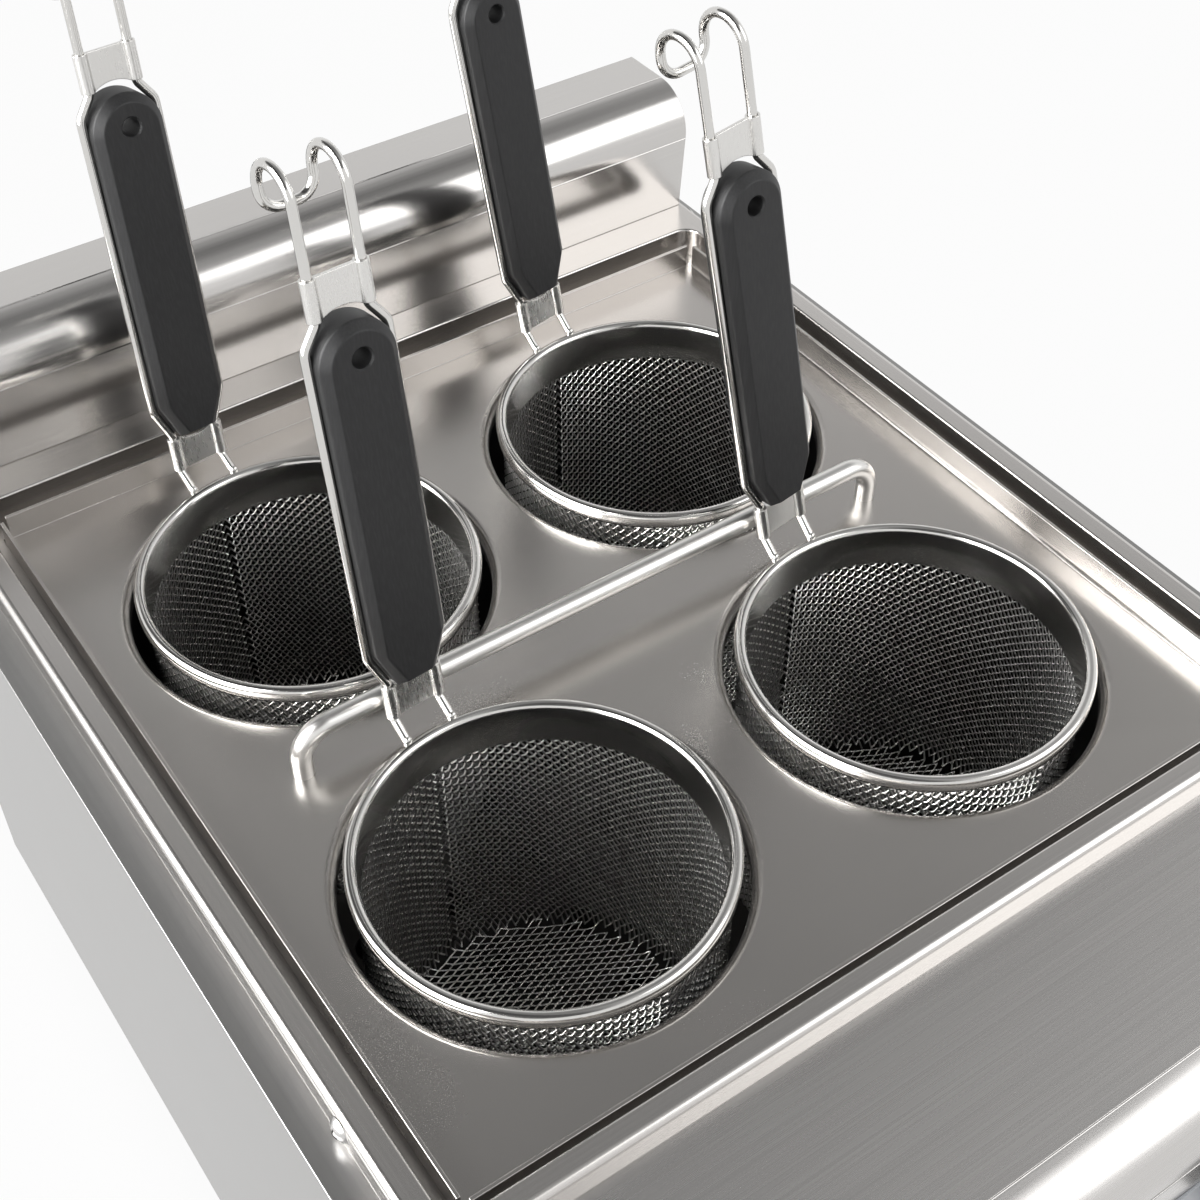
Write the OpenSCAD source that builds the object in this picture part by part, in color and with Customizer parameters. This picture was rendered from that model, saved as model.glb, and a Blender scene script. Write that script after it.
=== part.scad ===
// Countertop pasta cooker: a heated tank hung under a raised deck, with a lift-out support
// plate and four round mesh baskets on long handles. Millimetres, +Z up, the front faces -Y,
// and the origin lies on the floor under the middle of the whole outline.

/* [Casing] */
// Width over the side panels
body_w = 400; // [390:1:440]
// Depth from the front panel to the rear panel
body_d = 520; // [510:1:600]
// Height of the ledge beside the raised deck, above the floor
deck_h = 278; // [270:1:300]
// Clear height under the casing
foot_h = 25; // [22:1:35]
// Thickness of the sheet steel
sheet = 1.5; // [1:0.1:1.8]
// Width of the ledge on each side of the raised deck
ledge_w = 12; // [10:0.5:16]

/* [Deck] */
// Height of the raised deck over the ledge
lip_h = 12; // [11:0.5:15]
// Rounding of the deck's upper outer edge
lip_r = 3; // [2:0.5:3.5]
// Rounding of the deck's corners seen from above
deck_corner = 6; // [5:0.5:10]
// Flat strip at each side of the well
side_strip = 10; // [9:0.5:14]
// Flat strip in front of the well
front_strip = 9; // [8:0.5:12]
// Flat strip between the well and the splash
rear_strip = 18; // [14:0.5:24]
// Corner radius of the well
well_r = 8; // [6:0.5:10]

/* [Nose] */
// Depth of the nose in front of the deck
nose_d = 88; // [80:1:94]
// Fall of the nose towards the front, in degrees
nose_slope = 7; // [4:0.5:10]
// Radius of the bend between the nose and the front
nose_r = 24; // [16:1:30]

/* [Splash] */
// Height of the splash over the deck
splash_h = 60; // [50:1:90]
// Depth of the splash at its foot
splash_d = 41; // [38:1:50]
// Radius of the bend along its top
splash_r = 20; // [14:1:22]
// Lean of its face towards the front, in degrees
splash_lean = 5; // [0:0.5:8]

/* [Tank] */
// Depth of the shelf that carries the support plate, below the deck's top
shelf_drop = 14.5; // [14:0.5:16]
// Width of that shelf
shelf_w = 17; // [14:0.5:19]
// Depth of the tank below the shelf
tank_depth = 157.5; // [155:0.5:165]
// Corner radius of the tank
tank_r = 30; // [20:1:36]
// Thickness of the false bottom
grid_t = 1.5; // [1:0.1:2.5]
// Diameter of the holes in the false bottom
grid_hole_d = 14; // [8:1:18]
// Spacing of those holes
grid_pitch = 38; // [34:1:44]
// Number of those holes each way
grid_count = 7; // [3:2:7]

/* [Support plate] */
// Gap between the plate and the well at each side
plate_gap_side = 6; // [4:0.5:8]
// Gap between the plate and the well at the front
plate_gap_front = 3; // [2:0.5:6]
// Gap between the plate and the well at the rear
plate_gap_rear = 9; // [6:0.5:12]
// Height of the upstand over the plate
upstand_h = 11; // [8:0.5:12]
// Diameter of the holes for the baskets
hole_d = 141; // [138:0.5:146]
// Bend radius of the drawn edge of each hole
collar_r = 4; // [3:0.5:5]
// Depth of the drawn edge
collar_h = 8; // [6:0.5:10]
// Diameter of the handle bar
bar_d = 8; // [6:0.5:10]
// Distance between the handle's legs
bar_span = 260; // [240:1:280]
// Height of the bar's middle over the plate
bar_rise = 19; // [17:0.5:24]
// Bend radius of the bar, at its middle line
bar_bend = 12; // [9:0.5:13]

/* [Baskets] */
// Distance between the middles of neighbouring baskets
pitch = 165; // [162:0.5:168]
// Outer diameter of the rim
rim_d = 134; // [132:0.5:136]
// Width of the rim's bead
bead_d = 4.6; // [4:0.1:5]
// Height of the rim's bead
bead_h = 7; // [5:0.5:8]
// Height of the band inside the mesh, below the bead
band_h = 12; // [8:0.5:16]
// Thickness of that band
band_t = 0.8; // [0.6:0.1:1]
// Height of the rim's middle over the support plate
rim_rise = 9; // [6:0.5:12]
// Depth of the basket below the rim's middle
basket_depth = 130; // [124:0.5:132]
// Thickness of the woven mesh
mesh_t = 1.2; // [1:0.1:1.4]
// Radius of the mesh's lower edge
mesh_edge_r = 5; // [3:0.5:10]
// Turn of the baskets about their own axes, in degrees: front left and right, rear left and right
basket_turns = [4, 4, 7, 6.5]; // [0:0.5:8]

/* [Handles] */
// Diameter of the handle wire
wire_d = 3.5; // [3:0.1:4]
// Distance between the two wires at the clips
wire_pitch = 19; // [18:0.5:22]
// Lean of the handle from upright, in degrees
lean = 9; // [6:0.5:9]
// Sideways rock of the handles, in degrees, in the order of the baskets' turns
handle_rocks = [1, -5, 2.5, -3]; // [-6:0.5:6]
// Distance of the lower clip from the basket's middle
clip_reach = 75; // [74:0.5:76]
// Height of the lower clip's middle over the rim's middle
clip_rise = 15.5; // [14:0.5:17]
// Height of each clip
clip_h = 14; // [12:0.5:16]
// Thickness of the clips' sheet
clip_t = 0.8; // [0.6:0.1:1]
// Length of the grip
grip_l = 138; // [120:1:140]
// Width of the grip
grip_w = 28; // [26:0.5:32]
// Thickness of the grip
grip_t = 16; // [13:0.5:17]
// Chamfer round the grip's faces
grip_chamfer = 3; // [2:0.5:4]
// Height of the grip's tapered lower end
grip_taper = 15; // [10:0.5:20]
// Diameter of the hanging hole
grip_hole_d = 7; // [6:0.5:9]
// Height of the hook's arch over the upper clip's middle
hook_rise = 40; // [36:0.5:46]
// Distance that the hook turns back
hook_back = 20; // [16:0.5:24]
// Drop of the loop that joins the two hooks
hook_drop = 18; // [18:0.5:24]

/* [Controls] */
// Width of the dial plate
dial_w = 300; // [280:1:320]
// Height of the dial plate
dial_h = 97; // [92:1:105]
// Height of the dial plate's middle over the floor
dial_z = 178; // [174:0.5:182]
// Thickness of the dial plate
dial_t = 1; // [0.6:0.1:1.5]
// Distance of the knob from the casing's middle
knob_x = 80; // [70:1:90]
// Diameter of the knob's skirt
knob_d = 50; // [44:1:56]
// Length of the knob
knob_l = 26; // [22:1:30]
// Diameter of the thermostat's shaft
shaft_d = 6; // [5:0.5:7]
// Distance of the power switch from the casing's middle
switch_x = -100; // [-110:1:-90]
// Width of the rocker
rocker_w = 16; // [14:0.5:18]
// Height of the rocker
rocker_h = 22; // [20:0.5:26]
// Throw of the rocker, in degrees
rocker_throw = 18; // [14:1:20]
// Distance between the two lamps
lamp_pitch = 36; // [28:1:44]
// Diameter of a lamp's lens
lamp_d = 12; // [10:0.5:14]

/* [Drain] */
// Distance of the drain from the casing's middle
drain_x = -120; // [-130:1:-110]
// Height of the drain's middle over the floor
drain_z = 80; // [76:1:84]
// Outer diameter of the drain pipe
pipe_d = 21; // [19:0.5:22]
// Bore of the drain
drain_bore = 14; // [12:0.5:15]
// Length of the valve body
valve_l = 32; // [30:0.5:38]
// Diameter of the valve body
valve_d = 30; // [29:0.5:34]
// Outer diameter of the spout
spout_d = 18; // [17:0.5:20]
// Length of the spout's straight end
spout_drop = 24; // [20:0.5:28]
// Length of the lever from the stem
lever_l = 74; // [60:1:76]

/* [Hidden] */
$fn = 64;
CORNERS = [[-1, -1], [1, -1], [-1, 1], [1, 1]];
SIDES = [-1, 1];
BASKET_NAMES = ["front_left", "front_right", "rear_left", "rear_right"];
BASKETS = [for (i = [0 : 3]) [BASKET_NAMES[i], CORNERS[i], basket_turns[i], handle_rocks[i]]];
STEEL = "#8a8580";
DARK_STEEL = "#6b6763";
BRIGHT = "#c9c7c3";
BLACK = "#1f1f20";

// Clearances: between welded sheets, under a piece that lifts off, and round a turning piece
weld_gap = 0.1;
seat_gap = 0.3;
turn_gap = 0.1;
free_gap = 0.5;

// Length by which a bend's round runs on into its flat
lap = 0.5;

// Sizes of the bought-in pieces
spout_bend = 13;
socket_l = 6;
pipe_bend = 22;
ball_d = 21;
stem_d = 8;
bonnet_d = 16;
bonnet_h = 11;
lever_t = 3;
lever_w = 12;
lever_eye = 5;
sleeve_l = 44;
sleeve_wall = 2;
gland_d = 20;
gland_bore = 12;
gland_reach = 24;
gland_inset = 50;
gland_z = 62;
foot_d = 38;
foot_inset_x = 36;
foot_inset_y = 45;
stud_d = 10;
nut_d = 18;
nut_h = 5;
screw_d = 4;
screw_head_d = 9.4;
screw_head_h = 2.6;
screw_l = 6;
screw_front = 55;
screw_rear = 45;
rear_screw_x = 14;
rear_screw_low = 30;
rear_screw_high = 40;
louvre_rows = 6;
louvre_x = 80;
louvre_z = 150;
louvre_pitch = 12;
louvre_w = 70;
louvre_h = 4;
rack_inset = 110;
contactor_x = 40;
block_clear = 24;
block_ways = 5;
block_way_w = 12;
block_inset = 60;
drain_inset = 28;
element_d = 8.5;
element_pitch = 70;
element_rise = 16;
element_inset = 45;
bulb_d = 6;
bulb_l = 85;
bulb_rise = 26;
bulb_inset = 31;
bulb_nut_l = 9;
capillary_d = 2.4;
thermostat_w = 46;
thermostat_depth = 34;
shaft_depth = 12;

// Main planes
x_side = body_w / 2;
drain_reach = valve_l + free_gap + spout_bend + spout_d / 2;
y_front = (drain_reach - gland_reach - body_d) / 2;
y_rear = y_front + body_d;
y_mid = (y_front + y_rear) / 2;
z_deck = deck_h + lip_h;
z_floor = foot_h + sheet;
gland_x = x_side - gland_inset;
block_x = x_side - foot_inset_x - block_clear - block_ways * block_way_w;

// Deck and well
deck_x = x_side - ledge_w;
deck_y = y_front + nose_d;
well_x = deck_x - side_strip;
well_y0 = deck_y + front_strip;
well_y1 = y_rear - splash_d - rear_strip;
well_y = (well_y0 + well_y1) / 2;
well_l = well_y1 - well_y0;
flange_top = z_deck - sheet - 1;

// Tank, with its shelf under the support plate
z_shelf = z_deck - shelf_drop;
z_tank = z_shelf - tank_depth;
tank_x = well_x - shelf_w;
tank_l = well_l - 2 * shelf_w;
tank_y0 = well_y0 + shelf_w;
tank_y1 = well_y1 - shelf_w;
z_element = z_tank + element_rise;
bulb_x = tank_x - bulb_inset;

// Support plate
plate_x = well_x - plate_gap_side;
plate_y0 = well_y0 + plate_gap_front;
plate_y1 = well_y1 - plate_gap_rear;
plate_y = (plate_y0 + plate_y1) / 2;
z_plate = z_shelf + sheet;
hole_r = hole_d / 2;

// Baskets and handles
z_rim = z_plate + rim_rise;
bead_r = bead_d / 2;
bead_foot = bead_d - bead_h;
rim_r = rim_d / 2 - bead_r;
band_r = rim_r - bead_r;
mesh_in_r = band_r + band_t + weld_gap;
mesh_out_r = mesh_in_r + mesh_t;
z_grid = z_rim - basket_depth - seat_gap;
wire_r = wire_d / 2;
sleeve_r = wire_r + weld_gap / 2 + clip_t;
groove = 0.8;
grip_wire_x = grip_w / 2 + wire_r - groove;
grip_foot_x = wire_pitch / 2 - wire_r + 0.25;
grip_gap = 2.5;
grip_top_gap = 1.5;
hole_rise = 2;
grip_y0 = clip_h / 2 + grip_gap;
grip_y1 = grip_y0 + grip_l;
clip_spacing = grip_y1 + grip_top_gap + clip_h / 2;
hook_top = clip_spacing + hook_rise;

// Bends of the handle wire: at the clips, at the grip and in the hook's loop, and how far it runs
// straight past the grip's round top and below the top of its taper
clip_bend = 4;
grip_bend = 6;
loop_bend = 7;
grip_over = grip_w / 4;
grip_under = 3.5;

// Front controls
knob_z = dial_z + 12;
lamp_x = (knob_x + switch_x) / 2;
shaft_hole_r = shaft_d / 2 + 1.5;
bezel_t = 2.5;
bezel_rim = 5;
bezel_wall = 2 - weld_gap;
rocker_depth = 14;
rocker_pivot = dial_t + bezel_t - 5;
trunnion_d = 3;
trunnion_l = 1.2;
trunnion_span = rocker_w + 2 * trunnion_l;

// Drain
drain_y = tank_y0 + drain_inset;
ball_l = valve_l / 2;
spout_l = valve_l + free_gap;

// Shared shapes

module rounded_rect(w, d, r) {
    square([w - 2 * r, d], center = true);
    square([w, d - 2 * r], center = true);
    for (c = CORNERS) translate([c[0] * (w / 2 - r), c[1] * (d / 2 - r)]) circle(r);
}

// A flat bar's section with its two upper edges rounded
module crowned_section(w, h, r) {
    translate([-w / 2, 0]) square([w, h - r]);
    translate([-w / 2 + r, 0]) square([w - 2 * r, h]);
    for (s = SIDES) translate([s * (w / 2 - r), h - r]) circle(r);
}

// A slab with rounded corners and rounded upper edges
module crowned_slab(w, d, h, corner, edge) {
    rotate([90, 0, 90]) linear_extrude(w - 2 * corner, center = true) crowned_section(d, h, edge);
    rotate([90, 0, 0]) linear_extrude(d - 2 * corner, center = true) crowned_section(w, h, edge);
    for (c = CORNERS)
        translate([c[0] * (w / 2 - corner), c[1] * (d / 2 - corner), 0])
            rotate_extrude()
                intersection() {
                    crowned_section(2 * corner, h, edge);
                    square([corner, h]);
                }
}

// A profile in Y and Z drawn out along X, over a width about the middle
module across(w) {
    rotate([90, 0, 90]) linear_extrude(w, center = true) children();
}

// A hole's core through a sheet that lies just below the plane of its frame
module sheet_hole(d) {
    translate([0, 0, -sheet - 1]) cylinder(h = sheet + 2, d = d);
}

// Front face frame: X across, Y up, Z outwards
module at_front(x, z) {
    translate([x, y_front, z]) rotate([90, 0, 0]) children();
}

// Rear face frame: Z outwards, Y up
module at_rear(x, z) {
    translate([x, y_rear, z]) rotate([-90, 0, 0]) children();
}

module at_hole(b) {
    translate([b[1][0] * pitch / 2, plate_y + b[1][1] * pitch / 2, z_plate]) children();
}

module at_basket(b) {
    at_hole(b) translate([0, 0, rim_rise]) rotate([0, 0, b[2]]) children();
}

// Handle frame: X across, Y outwards through the grip, Z along the leaning handle
module at_handle(rock) {
    translate([0, clip_reach, clip_rise]) rotate([-lean, 0, 0]) rotate([0, rock, 0]) children();
}

module at_feet() {
    for (c = CORNERS)
        translate([c[0] * (x_side - foot_inset_x), y_mid + c[1] * (body_d / 2 - foot_inset_y), 0]) children();
}

// Bent wire: corners rounded to a radius, then a round section carried along the line

function unit(v) = v / norm(v);

function bend(p, a, b, r, steps) =
    let (u = unit(a - p), v = unit(b - p), half = acos(u * v) / 2, turn = 180 - 2 * half,
         c = p + unit(u + v) * r / sin(half), s = p + u * r / tan(half) - c, e = p + v * r / tan(half) - c)
    [for (i = [0 : steps]) c + (sin(turn * (1 - i / steps)) * s + sin(turn * i / steps) * e) / sin(turn)];

// Corners are [point, radius, steps]; the two ends keep their points
function bent_line(corners) =
    let (last = len(corners) - 1)
    [
        corners[0][0],
        for (i = [1 : last - 1])
            each bend(corners[i][0], corners[i - 1][0], corners[i + 1][0], corners[i][1], corners[i][2]),
        corners[last][0]
    ];

function heading(line, i) =
    unit(line[min(i + 1, len(line) - 1)] - line[max(i - 1, 0)]);

function square_to(n, t) = unit(n - t * (n * t));

module bent_wire(line, r, sides, across_axis) {
    count = len(line);
    normals = [
        for (i = 0, n = square_to(across_axis, heading(line, 0)); i < count;
             i = i + 1, n = i < count ? square_to(n, heading(line, i)) : n) n
    ];
    points = [
        for (i = [0 : count - 1], j = [0 : sides - 1])
            let (t = heading(line, i), a = 360 * j / sides)
            line[i] + r * (cos(a) * normals[i] + sin(a) * cross(t, normals[i]))
    ];
    walls = [
        for (i = [0 : count - 2], j = [0 : sides - 1])
            let (k = (j + 1) % sides, a = i * sides, b = (i + 1) * sides)
            each [[a + j, b + j, b + k], [a + j, b + k, a + k]]
    ];
    first_cap = [for (j = [1 : sides - 2]) [0, j, j + 1]];
    end = (count - 1) * sides;
    last_cap = [for (j = [1 : sides - 2]) [end, end + j + 1, end + j]];
    polyhedron(points = points, faces = concat(walls, first_cap, last_cap));
}

// Casing

nose_y = y_front + nose_r;
nose_z = deck_h - (deck_y - nose_y + nose_r * sin(nose_slope)) * tan(nose_slope) - nose_r * cos(nose_slope);

// Side view of the nose and front, taken in by a sheet's thickness where that is given
module nose_region(t, over) {
    r = nose_r - t;
    polygon([
        [deck_y + over, deck_h - t / cos(nose_slope) + over * tan(nose_slope)],
        [
            nose_y - r * sin(nose_slope) + lap * cos(nose_slope),
            nose_z + r * cos(nose_slope) + lap * sin(nose_slope)
        ],
        [nose_y, nose_z],
        [y_front + t, nose_z - lap],
        [y_front + t, foot_h - over],
        [deck_y + over, foot_h - over]
    ]);
    translate([nose_y, nose_z]) circle(r);
}

// Side view of the tab that runs on under the deck, with a root inside the sloping sheet
module nose_tab() {
    end = deck_y + 3 * sheet;
    polygon([
        [deck_y - lap, deck_h - sheet / 2 - lap * tan(nose_slope)],
        [deck_y, deck_h - sheet],
        [end, deck_h - sheet],
        [end, deck_h],
        [deck_y, deck_h]
    ]);
}

module screw_axes() {
    for (y = [deck_y + screw_front, y_rear - screw_rear])
        translate([deck_x, y, deck_h + lip_h / 2]) rotate([0, 90, 0]) children();
}

module side_panel() {
    color(BRIGHT) difference() {
        union() {
            translate([x_side - sheet / 2, 0, 0]) across(sheet) {
                nose_region(0, 0);
                translate([deck_y, foot_h]) square([y_rear - deck_y, deck_h - foot_h]);
            }
            translate([deck_x - 2 * sheet, deck_y, deck_h - sheet])
                cube([ledge_w + 2 * sheet, y_rear - sheet - deck_y, sheet]);
            translate([deck_x - 2 * sheet, deck_y + deck_corner, deck_h - sheet])
                cube([sheet, y_rear - deck_y - 2 * deck_corner, flange_top - deck_h + sheet]);
        }
        screw_axes() translate([0, 0, -screw_l - 1]) cylinder(h = screw_l, d = screw_d + 2 * weld_gap);
    }
}

module left_side_panel() {
    mirror([1, 0, 0]) side_panel();
}

module right_side_panel() {
    side_panel();
}

module base_pan() {
    wall_h = 20;
    w = body_w - 2 * sheet;
    d = body_d - 2 * sheet;
    color(STEEL) difference() {
        translate([-w / 2, y_front + sheet, foot_h]) cube([w, d, wall_h]);
        translate([-w / 2 + sheet, y_front + 2 * sheet, z_floor])
            cube([w - 2 * sheet, d - 2 * sheet, wall_h]);
        at_feet() translate([0, 0, foot_h - 1]) cylinder(h = sheet + 2, d = stud_d + 2 * weld_gap);
    }
}

module rear_screw_axes() {
    for (s = SIDES, z = [z_floor + rear_screw_low, deck_h - rear_screw_high])
        at_rear(s * (x_side - rear_screw_x), z) children();
}

module rear_panel() {
    w = body_w - 2 * sheet;
    tab = 10;
    color(BRIGHT) difference() {
        union() {
            translate([-w / 2, y_rear - sheet, foot_h]) cube([w, sheet, deck_h - foot_h]);
            translate([-deck_x + deck_corner, y_rear - 2 * sheet, deck_h - tab])
                cube([2 * (deck_x - deck_corner), sheet, flange_top - deck_h + tab]);
        }
        for (s = SIDES, i = [0 : louvre_rows - 1])
            translate([s * louvre_x - louvre_w / 2, y_rear - sheet - 1, louvre_z + louvre_pitch * i])
                cube([louvre_w, sheet + 2, louvre_h]);
        at_rear(gland_x, gland_z) sheet_hole(gland_d + 2 * weld_gap);
        rear_screw_axes() sheet_hole(screw_d + 2 * weld_gap);
    }
}

module rocker_window(grow) {
    square([rocker_w + 2 * grow, rocker_h + 2 * grow], center = true);
}

module control_cutouts(h) {
    at_front(knob_x, knob_z) translate([0, 0, -h]) cylinder(h = 2 * h, r = shaft_hole_r);
    for (s = SIDES)
        at_front(lamp_x + s * lamp_pitch / 2, dial_z) translate([0, 0, -h]) cylinder(h = 2 * h, d = lamp_d);
    at_front(switch_x, dial_z) translate([0, 0, -h])
        linear_extrude(2 * h) rocker_window(bezel_wall + weld_gap);
}

module front_panel() {
    w = body_w - 2 * sheet;
    color(STEEL) difference() {
        union() {
            across(w) difference() {
                nose_region(0, 0);
                nose_region(sheet, 1);
            }
            across(2 * (deck_x - deck_corner)) nose_tab();
        }
        control_cutouts(sheet + 2);
        at_front(drain_x, drain_z) sheet_hole(pipe_d + 2 * weld_gap);
    }
}

module deck_frame() {
    deck_l = y_rear - deck_y;
    spare = deck_corner;
    color(STEEL) {
        difference() {
            translate([0, deck_y + (deck_l + spare) / 2, deck_h])
                crowned_slab(2 * deck_x, deck_l + spare, lip_h, deck_corner, lip_r);
            translate([-deck_x - 1, y_rear, deck_h - 1]) cube([2 * deck_x + 2, spare + 1, lip_h + 2]);
            translate([0, deck_y + deck_l / 2, deck_h - 1])
                linear_extrude(lip_h - sheet + 1)
                    rounded_rect(2 * (deck_x - sheet), deck_l - 2 * sheet, deck_corner - sheet);
            translate([0, well_y, deck_h - 1]) linear_extrude(lip_h + 2) well_outline(0);
            for (s = [0, 1]) mirror([s, 0, 0]) screw_axes() sheet_hole(screw_d + 2 * weld_gap);
        }
        translate([0, well_y, z_shelf]) linear_extrude(z_deck - sheet / 2 - z_shelf) difference() {
            well_outline(sheet);
            well_outline(0);
        }
    }
}

// Outline of the well, grown outwards
module well_outline(grow) {
    rounded_rect(2 * (well_x + grow), well_l + 2 * grow, well_r + grow);
}

module deck_screws() {
    color(BRIGHT)
        for (s = [0, 1])
            mirror([s, 0, 0]) screw_axes() {
                dome_head(screw_head_d, screw_head_h);
                translate([0, 0, -screw_l]) cylinder(h = screw_l, d = screw_d);
            }
}

// A low dome on a flat base
module dome_head(d, h) {
    r = (d * d / 4 + h * h) / (2 * h);
    rotate_extrude() intersection() {
        translate([0, h - r]) circle(r);
        square([d, h]);
    }
}

module rear_screws() {
    color(BRIGHT)
        rear_screw_axes() {
            dome_head(screw_head_d, screw_head_h);
            translate([0, 0, -screw_l]) cylinder(h = screw_l, d = screw_d);
        }
}

splash_s = (splash_h - splash_r - splash_r * sin(splash_lean)) / cos(splash_lean);
splash_foot = y_rear - splash_d;
splash_y = splash_foot - splash_s * sin(splash_lean) + splash_r * cos(splash_lean);
splash_z = z_deck + splash_h - splash_r;

// Side view of the splash, taken in by a sheet's thickness where that is given
module splash_region(t, over) {
    r = splash_r - t;
    polygon([
        [splash_foot + t / cos(splash_lean) + over * tan(splash_lean), z_deck - over],
        [
            splash_y - r * cos(splash_lean) + lap * sin(splash_lean),
            splash_z - r * sin(splash_lean) - lap * cos(splash_lean)
        ],
        [splash_y, splash_z],
        [splash_y + lap, splash_z + r],
        [y_rear - t, splash_z + r],
        [y_rear - t, z_deck - over]
    ]);
    translate([splash_y, splash_z]) circle(r);
}

module back_splash() {
    w = 2 * (deck_x - lip_r);
    color(STEEL) {
        across(w) difference() {
            splash_region(0, 0);
            splash_region(sheet, 1);
        }
        for (s = SIDES) translate([s * (w - sheet) / 2, 0, 0]) across(sheet) splash_region(0, 0);
    }
}

// Tank and heating

module tank() {
    color(STEEL) difference() {
        union() {
            translate([0, well_y, z_tank - sheet])
                linear_extrude(z_shelf - z_tank)
                    rounded_rect(2 * (tank_x + sheet), tank_l + 2 * sheet, tank_r + sheet);
            translate([0, well_y, z_shelf - sheet]) linear_extrude(sheet) well_outline(2 * sheet + weld_gap);
            translate([0, well_y, z_shelf - sheet])
                linear_extrude(flange_top - z_shelf + sheet) difference() {
                    well_outline(2 * sheet + weld_gap);
                    well_outline(sheet + weld_gap);
                }
        }
        translate([0, well_y, z_tank])
            linear_extrude(tank_depth + 1) rounded_rect(2 * tank_x, tank_l, tank_r);
        translate([drain_x, drain_y, z_tank - sheet - 1]) cylinder(h = sheet + 2, d = drain_bore);
        for (s = SIDES)
            translate([s * 1.5 * element_pitch, tank_y1 - 1, z_element])
                rotate([-90, 0, 0]) cylinder(h = sheet + 2, d = element_d + 2 * weld_gap);
        translate([bulb_x, tank_y0 + 1, z_tank + bulb_rise])
            rotate([90, 0, 0]) cylinder(h = sheet + 2, d = bulb_d + 2 * weld_gap);
    }
}

module false_bottom() {
    leg_d = 9;
    leg_inset = 12;
    leg_y = 100;
    rim = 5;
    places = [for (i = [0 : grid_count - 1]) (i - (grid_count - 1) / 2) * grid_pitch];
    color(BRIGHT) {
        difference() {
            translate([0, well_y, z_grid - grid_t])
                linear_extrude(grid_t) rounded_rect(2 * (tank_x - rim), tank_l - 2 * rim, tank_r - rim);
            for (x = places, y = places)
                translate([x, plate_y + y, z_grid - grid_t - 1]) cylinder(h = grid_t + 2, d = grid_hole_d);
        }
        for (c = CORNERS)
            translate([c[0] * (tank_x - leg_inset), plate_y + c[1] * leg_y, z_tank])
                cylinder(h = z_grid - grid_t - z_tank, d = leg_d);
    }
}

module element_turn(x, y, side) {
    translate([x, y, z_element]) rotate([0, 0, side > 0 ? 0 : 180])
        rotate_extrude(angle = 180) translate([element_pitch / 2, 0]) circle(d = element_d);
}

module heating_element() {
    front = tank_y0 + element_inset + element_pitch / 2;
    rear = tank_y1 - element_inset - element_pitch / 2;
    tail = tank_y1 + sheet + nut_h;
    color(DARK_STEEL) {
        for (i = [-1.5, -0.5, 0.5, 1.5])
            translate([i * element_pitch, front, z_element]) rotate([-90, 0, 0])
                cylinder(h = (abs(i) > 1 ? tail : rear) - front, d = element_d);
        for (s = SIDES) element_turn(s * element_pitch, front, -1);
        element_turn(0, rear, 1);
    }
}

module element_rack() {
    strip = 3;
    color(BRIGHT)
        for (y = [tank_y0 + rack_inset, tank_y1 - rack_inset])
            translate([-1.75 * element_pitch, y, z_tank])
                cube([3.5 * element_pitch, strip, element_rise - element_d / 2 - weld_gap]);
}

module element_terminals() {
    pin_d = 5;
    pin_l = 18;
    color(BRIGHT)
        for (s = SIDES)
            translate([s * 1.5 * element_pitch, tank_y1 + sheet, z_element]) rotate([-90, 0, 0]) {
                difference() {
                    cylinder(h = nut_h, d = nut_d, $fn = 6);
                    translate([0, 0, -1]) cylinder(h = nut_h + 2, d = element_d + 2 * weld_gap);
                }
                translate([0, 0, nut_h]) cylinder(h = pin_l, d = pin_d);
            }
}

module thermostat() {
    color("#d8d5cc") difference() {
        at_front(knob_x, knob_z)
            translate([-thermostat_w / 2, -thermostat_w / 2, -sheet - thermostat_depth])
                cube([thermostat_w, thermostat_w, thermostat_depth]);
        at_front(knob_x, knob_z)
            translate([0, 0, -sheet - shaft_depth - seat_gap])
                cylinder(h = shaft_depth + seat_gap + 1, d = shaft_d + 2 * turn_gap);
    }
}

module thermostat_bulb() {
    color("#b87333") translate([bulb_x, tank_y0 - sheet, z_tank + bulb_rise]) rotate([-90, 0, 0]) {
        cylinder(h = bulb_l, d = bulb_d);
        translate([0, 0, -bulb_nut_l]) cylinder(h = bulb_nut_l, d = nut_d, $fn = 6);
    }
}

module capillary_tube() {
    start = [bulb_x, tank_y0 - sheet - bulb_nut_l, z_tank + bulb_rise];
    finish = [knob_x + 8, y_front + sheet + thermostat_depth, knob_z - 14];
    color("#b87333")
        bent_wire(
            bent_line([
                [start, 0, 0],
                [[start[0], (start[1] + finish[1]) / 2, start[2]], 8, 4],
                [[finish[0], (start[1] + finish[1]) / 2, finish[2]], 8, 4],
                [finish, 0, 0]
            ]), capillary_d / 2, 6, [1, 0, 0.1]);
}

module high_limit_cutout() {
    rise = 62;
    flange_d = 26;
    flange_h = 3;
    body_d = 18;
    body_l = 14;
    blade = [1, 6, 9];
    blade_x = 5;
    color(BLACK) translate([0, tank_y1 + sheet, z_tank + rise]) rotate([-90, 0, 0]) {
        cylinder(h = flange_h, d = flange_d);
        cylinder(h = body_l, d = body_d);
        for (s = SIDES) translate([s * blade_x - blade[0] / 2, -blade[1] / 2, body_l]) cube(blade);
    }
}

module contactor() {
    w = 45;
    d = 76;
    h = 78;
    step_h = 24;
    step_d = 18;
    color("#b9b5aa") translate([contactor_x, plate_y - d / 2, z_floor]) difference() {
        cube([w, d, h]);
        for (y = [-1, d - step_d]) translate([-1, y, h - step_h]) cube([w + 2, step_d + 1, step_h + 1]);
    }
}

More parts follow.
